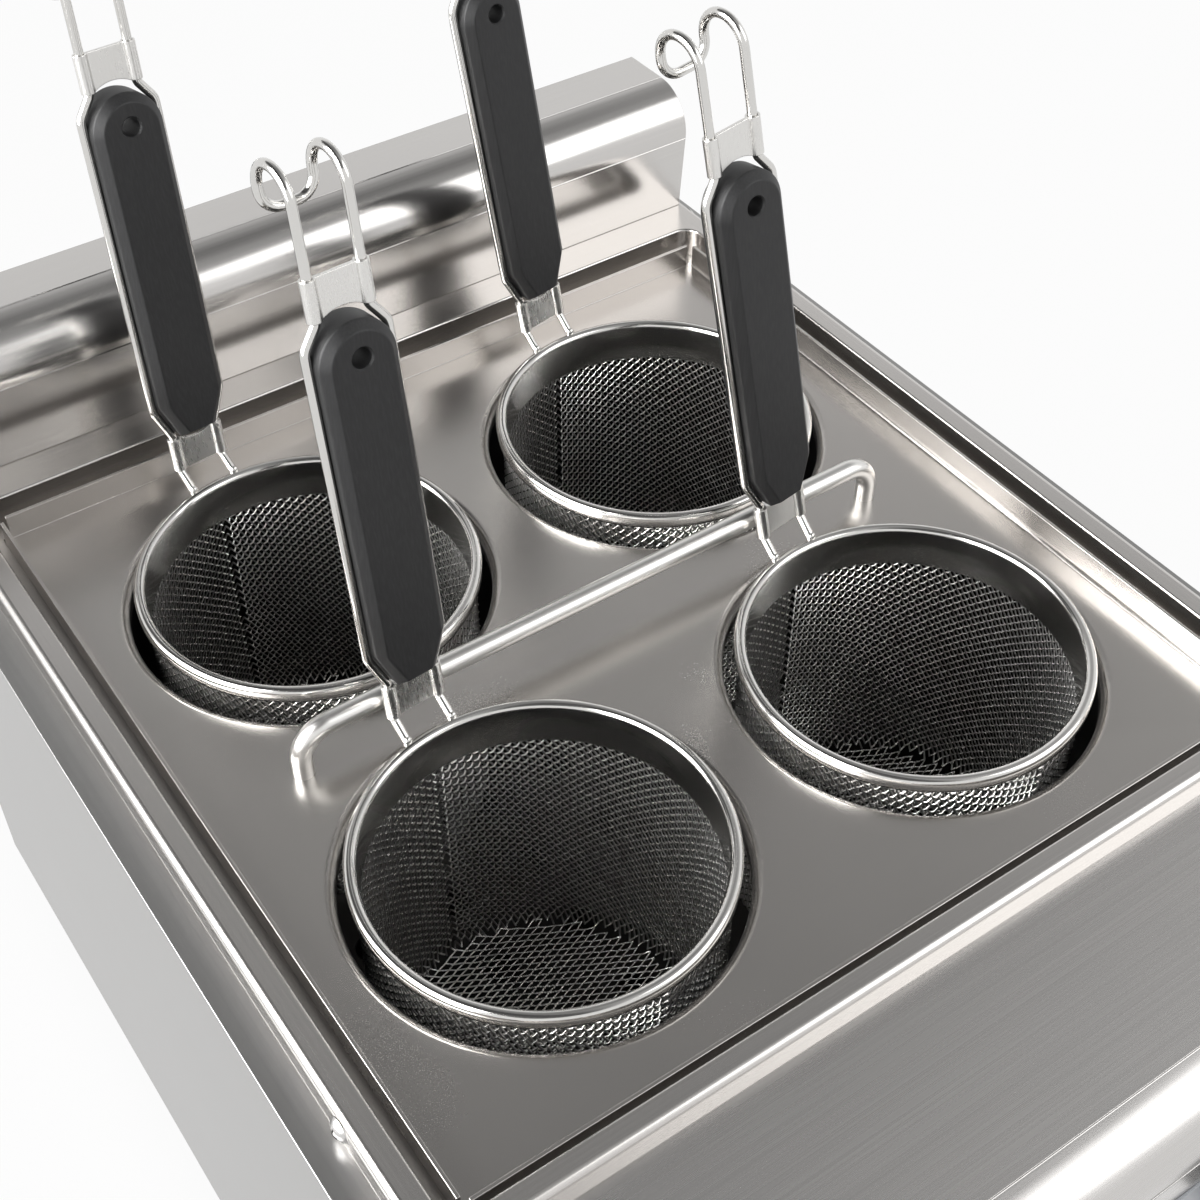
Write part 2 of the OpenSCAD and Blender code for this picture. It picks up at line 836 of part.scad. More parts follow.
module terminal_block() {
    d = 30;
    h = 26;
    step_d = 8;
    step_h = 14;
    web = 2;
    color("#e4e0d2") translate([block_x, y_rear - block_inset, z_floor]) difference() {
        cube([block_ways * block_way_w, d, h]);
        for (i = [0 : block_ways - 1], y = [-1, d - step_d])
            translate([i * block_way_w + web, y, h - step_h])
                cube([block_way_w - 2 * web, step_d + 1, step_h + 1]);
    }
}

module cable_gland() {
    base = 8;
    cap = 9;
    cap_r = gland_d / 2 + 2;
    color(BLACK) at_rear(gland_x, gland_z) rotate_extrude() difference() {
        union() {
            translate([0, -sheet - nut_h]) square([gland_d / 2 + 5, nut_h]);
            translate([0, -sheet - nut_h]) square([gland_d / 2, sheet + nut_h + 1]);
            square([gland_d / 2 + 4, base]);
            translate([0, base]) square([cap_r, cap]);
            polygon([[0, base], [cap_r, base + cap], [cap_r - 3, gland_reach], [0, gland_reach]]);
        }
        translate([0, -sheet - nut_h - 1]) square([gland_bore / 2, gland_reach + sheet + nut_h + 2]);
    }
}

module feet() {
    top_h = foot_h - nut_h;
    r = foot_d / 2;
    color(BLACK) at_feet()
        rotate_extrude() polygon([[0, 0], [r - 1, 0], [r, 1], [r - 3, top_h], [0, top_h]]);
}

module foot_studs() {
    stud_l = 16;
    color(BRIGHT) at_feet() {
        translate([0, 0, foot_h - nut_h]) cylinder(h = nut_h, d = nut_d, $fn = 6);
        translate([0, 0, foot_h - nut_h]) cylinder(h = nut_h + sheet + stud_l, d = stud_d);
        translate([0, 0, z_floor]) cylinder(h = nut_h, d = nut_d, $fn = 6);
    }
}

// Drain

// Middle line of the drain pipe: down from the tank, round a bend and out to the valve
module pipe_shape(r, over) {
    end = y_front - socket_l - over;
    translate([drain_x, drain_y, drain_z + pipe_bend])
        cylinder(h = z_tank - sheet - drain_z - pipe_bend + over, r = r);
    translate([drain_x, drain_y - pipe_bend, drain_z + pipe_bend])
        rotate([0, 90, 0]) rotate_extrude(angle = 90) translate([pipe_bend, 0]) circle(r);
    translate([drain_x, drain_y - pipe_bend, drain_z])
        rotate([90, 0, 0]) cylinder(h = drain_y - pipe_bend - end, r = r);
}

module drain_pipe() {
    flange_h = 3;
    color(BRIGHT) difference() {
        union() {
            pipe_shape(pipe_d / 2, 0);
            translate([drain_x, drain_y, z_tank - sheet - flange_h]) cylinder(h = flange_h, d = pipe_d + 14);
        }
        pipe_shape(drain_bore / 2, 1);
    }
}

module drain_locknut() {
    lock_h = 6;
    color(BRIGHT) at_front(drain_x, drain_z) translate([0, 0, -sheet - lock_h]) difference() {
        cylinder(h = lock_h, d = pipe_d + 13, $fn = 6);
        translate([0, 0, -1]) cylinder(h = lock_h + 2, d = pipe_d + 2 * weld_gap);
    }
}

module drain_valve_body() {
    hex_l = 9;
    color(BRIGHT) at_front(drain_x, drain_z) difference() {
        union() {
            cylinder(h = valve_l, d = valve_d);
            cylinder(h = hex_l, d = valve_d + 5, $fn = 6);
            translate([0, 0, ball_l]) rotate([-90, 0, 0]) cylinder(h = valve_d / 2 + bonnet_h, d = bonnet_d);
        }
        translate([0, 0, -1]) cylinder(h = valve_l + 2, d = drain_bore);
        translate([0, 0, -1]) cylinder(h = socket_l + 1, d = pipe_d + 2 * weld_gap);
        translate([0, 0, valve_l - socket_l]) cylinder(h = socket_l + 1, d = spout_d + 2 * weld_gap);
        translate([0, 0, ball_l]) sphere(d = ball_d + 2 * turn_gap);
        translate([0, 0, ball_l])
            rotate([-90, 0, 0]) cylinder(h = valve_d + bonnet_h, d = stem_d + 2 * turn_gap);
    }
}

module spout_shape(r, over) {
    translate([0, 0, valve_l - socket_l - over]) cylinder(h = spout_l - valve_l + socket_l + over, r = r);
    translate([0, -spout_bend, spout_l])
        rotate([0, -90, 0]) rotate_extrude(angle = 90) translate([spout_bend, 0]) circle(r);
    translate([0, -spout_bend, spout_l + spout_bend])
        rotate([90, 0, 0]) cylinder(h = spout_drop + over, r = r);
}

module drain_spout() {
    color(BRIGHT) at_front(drain_x, drain_z) difference() {
        spout_shape(spout_d / 2, 0);
        spout_shape(drain_bore / 2, 1);
    }
}

module at_stem() {
    translate([drain_x, y_front - ball_l, drain_z]) children();
}

module drain_ball() {
    color(BRIGHT) at_stem() rotate([0, 90, 0]) rotate_extrude() intersection() {
        circle(d = ball_d);
        translate([drain_bore / 2, -ball_d]) square(2 * ball_d);
    }
}

lever_z = valve_d / 2 + bonnet_h + free_gap;

module drain_stem() {
    color(BRIGHT) at_stem() {
        translate([0, 0, ball_d / 2]) cylinder(h = lever_z + lever_t + nut_h + 2 - ball_d / 2, d = stem_d);
        translate([0, 0, lever_z + lever_t]) cylinder(h = nut_h, d = stem_d + 6, $fn = 6);
    }
}

module lever_outline(grow) {
    square_l = lever_l - lever_w / 2;
    circle(d = stem_d + 2 * (lever_eye + grow));
    translate([0, -lever_w / 2 - grow]) square([square_l, lever_w + 2 * grow]);
    translate([square_l, 0]) circle(d = lever_w + 2 * grow);
}

module drain_lever() {
    color(BRIGHT) at_stem() translate([0, 0, lever_z]) difference() {
        linear_extrude(lever_t) lever_outline(0);
        translate([0, 0, -1]) cylinder(h = lever_t + 2, d = stem_d + weld_gap);
    }
}

module drain_lever_sleeve() {
    start = lever_l - sleeve_l;
    color("#a3262a") at_stem() difference() {
        translate([0, 0, lever_z - sleeve_wall]) linear_extrude(lever_t + 2 * sleeve_wall) intersection() {
            lever_outline(sleeve_wall);
            translate([start, -lever_w]) square([lever_l, 2 * lever_w]);
        }
        translate([0, 0, lever_z - weld_gap / 2])
            linear_extrude(lever_t + weld_gap) lever_outline(weld_gap / 2);
    }
}

// Controls

module dial_plate() {
    corner = 4;
    color("#8c9095") difference() {
        at_front(0, dial_z) linear_extrude(dial_t) rounded_rect(dial_w, dial_h, corner);
        control_cutouts(dial_t + 2);
    }
}

module control_knob() {
    skirt_h = 4;
    grip_d = knob_d - 14;
    flutes = 12;
    flute_r = 2.5;
    pointer_w = 4;
    color(BLACK) at_front(knob_x, knob_z) translate([0, 0, dial_t + free_gap]) difference() {
        union() {
            rotate_extrude() polygon([
                [0, 0], [knob_d / 2, 0], [knob_d / 2, skirt_h - 2], [knob_d / 2 - 2, skirt_h],
                [grip_d / 2, skirt_h], [grip_d / 2 - 1, knob_l - 2], [grip_d / 2 - 3, knob_l], [0, knob_l]
            ]);
            translate([-pointer_w / 2, 0, skirt_h - 1]) cube([pointer_w, knob_d / 2 - 3, 3]);
        }
        for (i = [0 : flutes - 1])
            rotate([0, 0, 360 * (i + 0.5) / flutes])
                translate([grip_d / 2 + 1, 0, skirt_h]) cylinder(h = knob_l, r = flute_r);
        translate([0, 0, -1]) cylinder(h = knob_l - 5, d = shaft_d + weld_gap);
    }
}

module thermostat_shaft() {
    reach = dial_t + free_gap + knob_l - 8;
    color(BRIGHT) at_front(knob_x, knob_z)
        translate([0, 0, -sheet - shaft_depth]) cylinder(h = sheet + shaft_depth + reach, d = shaft_d);
}

module switch_bezel() {
    body_depth = 24;
    corner = 3;
    color(BLACK) at_front(switch_x, dial_z) difference() {
        union() {
            translate([0, 0, dial_t]) linear_extrude(bezel_t)
                rounded_rect(rocker_w + 2 * bezel_rim, rocker_h + 2 * bezel_rim, corner);
            translate([0, 0, -body_depth])
                linear_extrude(body_depth + dial_t + 1) rocker_window(bezel_wall);
        }
        translate([0, 0, dial_t + bezel_t - rocker_depth])
            linear_extrude(rocker_depth + 1) rocker_window(free_gap);
        translate([0, 0, rocker_pivot])
            rotate([0, 90, 0])
                cylinder(h = trunnion_span + 2 * turn_gap, d = trunnion_d + 2 * turn_gap, center = true);
    }
}

// The rocker's two faces meet at half the throw, so one of them lies flush at each end of its travel
module power_rocker() {
    half = rocker_h / 2;
    tilt = rocker_throw / 2;
    back = -3;
    face = 6;
    horn = face + half * tan(tilt);
    color("#2b2b2d") at_front(switch_x, dial_z) translate([0, 0, rocker_pivot]) rotate([-tilt, 0, 0]) {
        across(rocker_w) intersection() {
            circle(half);
            polygon([[-half, back], [half, back], [half, horn], [0, face], [-half, horn]]);
        }
        rotate([0, 90, 0]) cylinder(h = trunnion_span, d = trunnion_d, center = true);
    }
}

module indicator_lamps() {
    body_l = 22;
    color("#3a7d44")
        for (s = SIDES)
            at_front(lamp_x + s * lamp_pitch / 2, dial_z) {
                translate([0, 0, -body_l]) cylinder(h = body_l + dial_t, d = lamp_d - 2 * weld_gap);
                translate([0, 0, dial_t]) cylinder(h = 2, d = lamp_d + 4);
                translate([0, 0, dial_t + 2]) dome_head(lamp_d, 4);
            }
}

// Support plate

module collar_section() {
    intersection() {
        translate([hole_r + collar_r, -collar_r]) difference() {
            circle(collar_r);
            circle(collar_r - sheet);
        }
        translate([hole_r, -collar_r]) square(collar_r);
    }
    translate([hole_r, -collar_h]) square([sheet, collar_h - collar_r]);
}

module support_plate() {
    notch = 3;
    plate_l = plate_y1 - plate_y0;
    wall_h = upstand_h + sheet;
    color(DARK_STEEL) {
        difference() {
            translate([-plate_x, plate_y0, z_shelf]) cube([2 * plate_x, plate_l, sheet]);
            for (b = BASKETS) at_hole(b) sheet_hole(2 * (hole_r + collar_r));
        }
        for (b = BASKETS) at_hole(b) rotate_extrude() collar_section();
        for (s = [0, 1]) {
            mirror([s, 0, 0])
                translate([plate_x - sheet, plate_y0 + notch, z_shelf])
                    cube([sheet, plate_l - 2 * notch, wall_h]);
            translate([-plate_x + notch, s == 0 ? plate_y0 : plate_y1 - sheet, z_shelf])
                cube([2 * (plate_x - notch), sheet, wall_h]);
        }
    }
}

module plate_handle() {
    straight = bar_span - 2 * bar_bend;
    color(BRIGHT) translate([0, plate_y, z_plate]) {
        translate([-straight / 2, 0, bar_rise]) rotate([0, 90, 0]) cylinder(h = straight, d = bar_d);
        for (s = [0, 1])
            mirror([s, 0, 0]) {
                translate([straight / 2, 0, bar_rise - bar_bend])
                    rotate([90, 0, 0]) rotate_extrude(angle = 90) translate([bar_bend, 0]) circle(d = bar_d);
                translate([bar_span / 2, 0, 0]) cylinder(h = bar_rise - bar_bend, d = bar_d);
            }
    }
}

// Baskets, each drawn about the middle of its rim

module basket_rim() {
    color(BRIGHT) rotate_extrude() {
        for (z = [0, bead_foot]) translate([rim_r, z]) circle(bead_r);
        translate([rim_r - bead_r, bead_foot]) square([bead_d, -bead_foot]);
        translate([band_r, bead_foot - bead_r - band_h]) square([band_t, bead_r + band_h]);
    }
}

// Envelope of the woven wire cloth, open at the top
module basket_mesh() {
    top = bead_foot - bead_r - weld_gap;
    color(DARK_STEEL) rotate_extrude() difference() {
        mesh_region(mesh_out_r, -basket_depth, top, mesh_edge_r);
        mesh_region(mesh_in_r, -basket_depth + mesh_t, top + 1, mesh_edge_r - mesh_t);
    }
}

module mesh_region(r, bottom, top, edge) {
    translate([0, bottom]) square([r - edge, top - bottom]);
    translate([0, bottom + edge]) square([r, top - bottom - edge]);
    intersection() {
        translate([r - edge, bottom + edge]) circle(edge);
        translate([0, bottom]) square([r, edge]);
    }
}

// A point of the handle frame, in the basket's own frame
function handle_point(x, out, up, rock) =
    let (side = x * cos(rock) + up * sin(rock), along = up * cos(rock) - x * sin(rock))
    [
        side,
        clip_reach + along * sin(lean) + out * cos(lean),
        clip_rise + along * cos(lean) - out * sin(lean)
    ];

// One side of the wire: off the rim, through the lower clip, round the grip, through the upper clip,
// over the hook and down to the loop
function wire_half(s, rock) =
    let (
        x = wire_pitch / 2,
        low = clip_h / 2 + 1,
        bead = [s * x, sqrt(rim_r * rim_r - x * x), 0],
        foot = handle_point(s * x, 0, -low, rock),
        hook_bend = hook_back / 2 - 0.1
    )
    [
        [bead + unit(foot - bead) * (bead_r + seat_gap), 0, 0],
        [foot, clip_bend, 3],
        [handle_point(s * x, 0, low, rock), clip_bend, 3],
        [handle_point(s * grip_wire_x, 0, grip_y0 + grip_taper - grip_under, rock), grip_bend, 3],
        [handle_point(s * grip_wire_x, 0, grip_y1 - grip_w / 2 + grip_over, rock), grip_bend, 3],
        [handle_point(s * x, 0, clip_spacing - low, rock), clip_bend, 3],
        [handle_point(s * x, 0, hook_top, rock), hook_bend, 8],
        [handle_point(s * x, hook_back, hook_top, rock), hook_bend, 8],
        [handle_point(s * x, hook_back, hook_top - hook_drop, rock), loop_bend, 8]
    ];

function reversed(list) = [for (i = [len(list) - 1 : -1 : 0]) list[i]];

module basket_wire(rock) {
    line = bent_line(concat(wire_half(-1, rock), reversed(wire_half(1, rock))));
    color(BRIGHT) bent_wire(line, wire_r, 10, [0, 1, 0]);
}

module clip_section() {
    for (s = SIDES) translate([s * wire_pitch / 2, 0]) circle(sleeve_r);
    square([wire_pitch, 2 * clip_t], center = true);
}

module basket_clips(rock) {
    dip_r = 14;
    dip = 2;
    color(BRIGHT) at_handle(rock)
        for (up = [0, clip_spacing])
            translate([0, 0, up - clip_h / 2]) difference() {
                linear_extrude(clip_h) clip_section();
                for (s = SIDES)
                    translate([s * wire_pitch / 2, 0, -1])
                        cylinder(h = clip_h + 2, r = wire_r + weld_gap / 2);
                translate([0, 0, up > 0 ? -dip_r + dip : clip_h + dip_r - dip])
                    rotate([90, 0, 0]) cylinder(h = 2 * sleeve_r, r = dip_r, center = true);
            }
}

module grip_outline(inset) {
    translate([0, grip_y1 - grip_w / 2]) circle(grip_w / 2 - inset, $fn = 32);
    translate([-grip_w / 2 + inset, grip_y0 + grip_taper]) square([grip_w - 2 * inset, 1]);
    translate([-grip_foot_x + inset, grip_y0 + inset / 2]) square([2 * (grip_foot_x - inset), 1]);
}

module basket_grip(rock) {
    hole_up = grip_y1 - grip_w / 2 + hole_rise;
    color(BLACK) at_handle(rock) difference() {
        hull() {
            rotate([90, 0, 0]) linear_extrude(grip_t - 2 * grip_chamfer, center = true) grip_outline(0);
            rotate([90, 0, 0]) linear_extrude(grip_t, center = true) grip_outline(grip_chamfer);
        }
        translate([0, 0, hole_up])
            rotate([90, 0, 0]) cylinder(h = grip_t + 2, d = grip_hole_d, center = true);
        for (s = SIDES)
            translate([s * grip_wire_x, 0, grip_y0 - 1]) cylinder(h = grip_l + 2, r = wire_r + weld_gap);
    }
}

base_pan();
left_side_panel();
right_side_panel();
rear_panel();
front_panel();
deck_frame();
back_splash();
tank();
false_bottom();
heating_element();
element_rack();
element_terminals();
thermostat();
thermostat_bulb();
capillary_tube();
high_limit_cutout();
contactor();
terminal_block();
cable_gland();
drain_pipe();
drain_locknut();
drain_valve_body();
drain_spout();
dial_plate();
switch_bezel();
indicator_lamps();
feet();
foot_studs();
deck_screws();
rear_screws();
support_plate();
plate_handle();
control_knob();
thermostat_shaft();
power_rocker();
drain_lever();
drain_lever_sleeve();
drain_stem();
drain_ball();
for (b = BASKETS) {
    at_basket(b) basket_rim();
    at_basket(b) basket_mesh();
    at_basket(b) basket_wire(b[3]);
    at_basket(b) basket_clips(b[3]);
    at_basket(b) basket_grip(b[3]);
}
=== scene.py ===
"""Looks of a countertop pasta cooker: brushed steel casing, lift-out plate and four woven baskets."""

import functools
import logging
import math
from dataclasses import dataclass
from enum import Enum
from typing import Any, Iterable, Sequence

import bmesh
import bpy
from mathutils import Matrix, Vector


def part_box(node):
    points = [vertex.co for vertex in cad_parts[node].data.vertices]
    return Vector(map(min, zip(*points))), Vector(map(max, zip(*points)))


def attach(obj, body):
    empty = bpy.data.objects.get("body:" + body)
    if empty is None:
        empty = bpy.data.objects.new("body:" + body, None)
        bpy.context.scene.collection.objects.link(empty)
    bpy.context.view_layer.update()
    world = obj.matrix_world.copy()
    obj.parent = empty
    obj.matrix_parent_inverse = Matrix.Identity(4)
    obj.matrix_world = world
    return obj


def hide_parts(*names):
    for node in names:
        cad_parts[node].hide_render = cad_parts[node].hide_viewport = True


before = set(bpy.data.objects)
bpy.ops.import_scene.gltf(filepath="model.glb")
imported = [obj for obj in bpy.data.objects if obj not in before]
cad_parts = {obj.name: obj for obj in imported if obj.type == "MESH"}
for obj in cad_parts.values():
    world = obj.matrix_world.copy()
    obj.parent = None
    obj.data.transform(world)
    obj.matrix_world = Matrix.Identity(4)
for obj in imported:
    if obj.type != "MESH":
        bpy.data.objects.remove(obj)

LOG = logging.getLogger("pasta_cooker")
MM = 0.001
Pair = tuple[float, float]
Triple = tuple[float, float, float]
Point = Pair
Color = Triple

# Limits for meshes: sharp edges, coplanar faces, doubled points, points on an axis, points at one height
SHARP = math.radians(40)
COPLANAR = math.radians(0.4)
MERGE = 0.002 * MM
ON_AXIS = 0.0001 * MM
SAME_LEVEL = 0.1 * MM

# Sides of a cloth wire's section, and what parts a step along a grid's row from one across its rows
CLOTH_SIDES = 5
ROW_STEP = 1.5

# Cycles per metre of wiping smears and of the sheet's unevenness, along each axis
SMEARS = (9.0, 7.0, 8.0)
DENTS = (14.0, 11.0, 12.0)

WHITE = (1.0, 1.0, 1.0, 1.0)


class Value:
    """A socket of a node tree; arithmetic on it adds Math nodes to that tree."""

    def __init__(self, graph: "Graph", socket: bpy.types.NodeSocket) -> None:
        """Keep the socket and the graph that it belongs to."""
        self.graph = graph
        self.socket = socket

    def _math(self, operation: str, first: Any, second: Any = 0.0) -> "Value":
        """Add one Math node on two operands."""
        return self.graph.value("ShaderNodeMath", {"operation": operation}, {0: first, 1: second})

    def __add__(self, other: Any) -> "Value":
        """Sum."""
        return self._math("ADD", self, other)

    __radd__ = __add__

    def __sub__(self, other: Any) -> "Value":
        """Difference."""
        return self._math("SUBTRACT", self, other)

    def __rsub__(self, other: Any) -> "Value":
        """Difference, with the socket taken away."""
        return self._math("SUBTRACT", other, self)

    def __mul__(self, other: Any) -> "Value":
        """Product."""
        return self._math("MULTIPLY", self, other)

    __rmul__ = __mul__

    def __truediv__(self, other: Any) -> "Value":
        """Quotient."""
        return self._math("DIVIDE", self, other)

    def __mod__(self, other: Any) -> "Value":
        """Remainder, never negative."""
        return self._math("FLOORED_MODULO", self, other)

    def __gt__(self, other: Any) -> "Value":
        """One where the socket is larger, else zero."""
        return self._math("GREATER_THAN", self, other)

    def __lt__(self, other: Any) -> "Value":
        """One where the socket is smaller, else zero."""
        return self._math("LESS_THAN", self, other)

    def __abs__(self) -> "Value":
        """Size without sign."""
        return self._math("ABSOLUTE", self)

    def apply(self, operation: str, other: Any = 0.0) -> "Value":
        """Add a Math node by its operation's name, with a second operand where it has one."""
        return self._math(operation, self, other)


class Graph:
    """Makes nodes in one tree."""

    def __init__(self, tree: bpy.types.NodeTree) -> None:
        """Keep the tree."""
        self.tree = tree

    def node(self, kind: str, settings: dict | None = None, inputs: dict | None = None) -> bpy.types.Node:
        """Add a node.

        Args:
            kind: the node's type.
            settings: its properties; "stops" gives a ramp's positions and colours.
            inputs: values or links of its sockets, by name or place; a list links several.

        Returns:
            The new node.
        """
        made = self.tree.nodes.new(kind)
        for name, setting in (settings or {}).items():
            if name == "stops":
                self._fill_ramp(made.color_ramp, setting)
            else:
                setattr(made, name, setting)
        for key, given in (inputs or {}).items():
            for item in given if isinstance(given, list) else [given]:
                if isinstance(item, Value):
                    self.tree.links.new(item.socket, made.inputs[key])
                else:
                    made.inputs[key].default_value = item
        return made

    @staticmethod
    def _fill_ramp(ramp: bpy.types.ColorRamp, stops: Sequence[Pair]) -> None:
        """Set a ramp's stops.

        Args:
            ramp: the ramp.
            stops: positions and grey levels.
        """
        while len(ramp.elements) < len(stops):
            ramp.elements.new(1.0)
        for element, (position, level) in zip(ramp.elements, stops):
            element.position = position
            element.color = (level, level, level, 1.0)

    def value(self, kind: str, settings: dict | None = None, inputs: dict | None = None,
              output: Any = 0) -> Value:
        """Add a node and take one of its outputs, by name or place."""
        return Value(self, self.node(kind, settings, inputs).outputs[output])

    def axis(self, vector: Value, which: int) -> Value:
        """Take one coordinate of a vector."""
        return self.value("ShaderNodeSeparateXYZ", inputs={0: vector}, output=which)

    def mix_color(self, factor: Any, first: Any, second: Any) -> Value:
        """Blend two colours by a factor.

        Args:
            factor: share of the second colour.
            first: colour or value at 0.
            second: colour or value at 1.

        Returns:
            The blended colour.
        """
        sides = {6: first, 7: second}
        inputs = {k: c if isinstance(c, Value) else (*c, 1.0) for k, c in sides.items()}
        return self.value("ShaderNodeMix", {"data_type": "RGBA"}, {0: factor, **inputs}, 2)


class SurfaceGraph(Graph):
    """A material's nodes, patterned on Object coordinates."""

    def __init__(self, name: str) -> None:
        """Start an empty material.

        Args:
            name: the material's name.
        """
        self.material = bpy.data.materials.new(name)
        self.material.use_nodes = True
        super().__init__(self.material.node_tree)
        self.tree.nodes.clear()
        self.place = self.value("ShaderNodeTexCoord", output="Object")

    def noise(self, scale: Triple, detail: float = 2.0, turn: Triple = (0.0, 0.0, 0.0)) -> Value:
        """Add a noise from 0 to 1, by its cycles per metre along each axis, finer layers and turn."""
        mapped = self.value("ShaderNodeMapping",
                            inputs={"Vector": self.place, "Rotation": turn, "Scale": scale})
        return self.value("ShaderNodeTexNoise", inputs={"Vector": mapped, "Scale": 1.0, "Detail": detail})

    def bump(self, height: Value, depth: float) -> Value:
        """Turn a height pattern from 0 to 1 into a normal, by its depth in metres."""
        return self.value("ShaderNodeBump", inputs={"Height": height, "Distance": depth, "Strength": 1.0})

    def finish(self, inputs: dict) -> bpy.types.Material:
        """Add a Principled shader and the output.

        Args:
            inputs: the shader's sockets.

        Returns:
            The material.
        """
        shader = self.value("ShaderNodeBsdfPrincipled", inputs=inputs)
        self.node("ShaderNodeOutputMaterial", inputs={"Surface": shader})
        return self.material


class Grain(Enum):
    """Cycles per metre of a brushed pattern along each axis, by the direction of its lines."""

    X = (5.0, 1700.0, 1700.0)
    Y = (1700.0, 5.0, 1700.0)
    Z = (1700.0, 1700.0, 5.0)
    NONE = (1300.0, 1300.0, 1300.0)


def shade(color: Color, factor: float) -> Color:
    """Scale a linear colour, held within 1."""
    return tuple(min(1.0, c * factor) for c in color)


@dataclass(frozen=True)
class Steel:
    """Bare metal, brushed or plain; brushed another way beyond side_x, and darkened below a given height by
    painted shade.
    """

    name: str
    color: Color
    roughness: float
    grain: Grain = Grain.NONE
    streak: float = 0.06
    smear: float = 0.04
    depth: float = 0.0008 * MM
    wave: float = 0.0
    side_grain: Grain | None = None
    side_x: float = 0.0
    stain: float = 1.0
    stain_z: float = 0.0

    def build(self) -> bpy.types.Material:
        """Make the material: streaks in colour, gloss and height, broad smears from wiping, uneven sheet, and
        painted shade below a given height.

        Returns:
            The material.
        """
        graph = SurfaceGraph(self.name)
        lines = graph.noise(self.grain.value, 3.0)
        if self.side_grain:
            on_side = abs(graph.axis(graph.place, 0)) > self.side_x
            lines = lines + (graph.noise(self.side_grain.value, 3.0) - lines) * on_side
        smears = graph.noise(SMEARS, 3.0)
        tone = graph.mix_color(lines, shade(self.color, 1 - self.streak), shade(self.color, 1 + self.streak))
        # Painted shade: below the given height the colour is darkened, standing in for the shade deep inside
        # the tank.
        if self.stain_z:
            painted_shade_mask = graph.axis(graph.place, 2) < self.stain_z
            tone = graph.mix_color(painted_shade_mask, tone, shade(self.color, self.stain))
        gloss = self.roughness + (lines - 0.5) * self.streak + (smears - 0.5) * self.smear * 2
        height = lines * self.depth + graph.noise(DENTS, 1.0) * self.wave
        return graph.finish({"Base Color": tone, "Metallic": 1.0, "Roughness": gloss,
                             "Normal": graph.bump(height / MM, 1 * MM)})


@dataclass(frozen=True)
class PaintedWood:
    """Matt paint that lets the wood's grain show."""

    name: str
    color: Color
    worn: Color
    lean: float
    fibre: Triple = (1500.0, 1500.0, 25.0)
    patch: Triple = (60.0, 60.0, 25.0)
    worn_from: float = 0.4
    worn_full: float = 0.8
    roughness: float = 0.5
    shine: float = 0.4
    patch_gloss: float = 0.12
    fibre_gloss: float = 0.08
    depth: float = 0.008 * MM

    def build(self) -> bpy.types.Material:
        """Make the material, with its grain along the leaning handle.

        Returns:
            The material.
        """
        graph = SurfaceGraph(self.name)
        turn = (self.lean, 0.0, 0.0)
        fibres = graph.noise(self.fibre, 3.0, turn)
        patches = graph.noise(self.patch, 2.0, turn)
        stops = [(self.worn_from, 0.0), (self.worn_full, 1.0)]
        share = graph.value("ShaderNodeValToRGB", {"stops": stops}, {0: fibres})
        tone = graph.mix_color(share, self.color, self.worn)
        gloss = self.roughness + (patches - 0.5) * self.patch_gloss + (fibres - 0.5) * self.fibre_gloss
        return graph.finish({"Base Color": tone, "Roughness": gloss, "Specular IOR Level": self.shine,
                             "Normal": graph.bump(fibres, self.depth)})


@dataclass(frozen=True)
class Moulded:
    """Moulded plastic, rubber or lacquer with a fine skin."""

    name: str
    color: Color
    roughness: float
    cells: float = 1500.0
    depth: float = 0.01 * MM
    coat: float = 0.0
    glow: float = 0.0
    patch: float = 35.0
    patch_tone: float = 0.15
    patch_gloss: float = 0.14

    def build(self) -> bpy.types.Material:
        """Make the material: a grainy skin with slightly uneven gloss and tone.

        Returns:
            The material.
        """
        graph = SurfaceGraph(self.name)
        skin = graph.noise((self.cells,) * 3, 2.0)
        patches = graph.noise((self.patch,) * 3, 3.0)
        dark, pale = shade(self.color, 1 - self.patch_tone), shade(self.color, 1 + self.patch_tone)
        tone = graph.mix_color(patches, dark, pale)
        gloss = self.roughness + (patches - 0.5) * self.patch_gloss
        return graph.finish({"Base Color": tone, "Roughness": gloss, "Coat Weight": self.coat,
                             "Emission Color": (*self.color, 1.0), "Emission Strength": self.glow,
                             "Normal": graph.bump(skin, self.depth)})


Finish = Steel | PaintedWood | Moulded


@functools.cache
def material_of(finish: Finish) -> bpy.types.Material:
    """Make a finish's material once."""
    return finish.build()


# Lean of every handle; turn of each basket about its axis and rock of its handle, in degrees
HANDLE_LEAN = math.radians(9)
HANDLE_ANGLES = {"front_left": (4, 1), "front_right": (4, -5), "rear_left": (7, 2.5), "rear_right": (6.5, -3)}

PANEL = Steel("panel_steel", (0.37, 0.366, 0.36), 0.34, Grain.Y, 0.05, 0.03)
NOSE = Steel("nose_steel", (0.6, 0.585, 0.57), 0.27, Grain.X, 0.07, 0.03, wave=0.1 * MM)
DECK = Steel("deck_steel", (0.6, 0.58, 0.56), 0.25, Grain.X, 0.08, 0.03, side_grain=Grain.Y, side_x=178 * MM)
SPLASH = Steel("splash_steel", (0.58, 0.565, 0.55), 0.19, Grain.X, 0.05, 0.03, wave=0.1 * MM)
PLATE = Steel("plate_steel", (0.5, 0.48, 0.46), 0.26, Grain.NONE, 0.03, 0.05, wave=0.35 * MM)
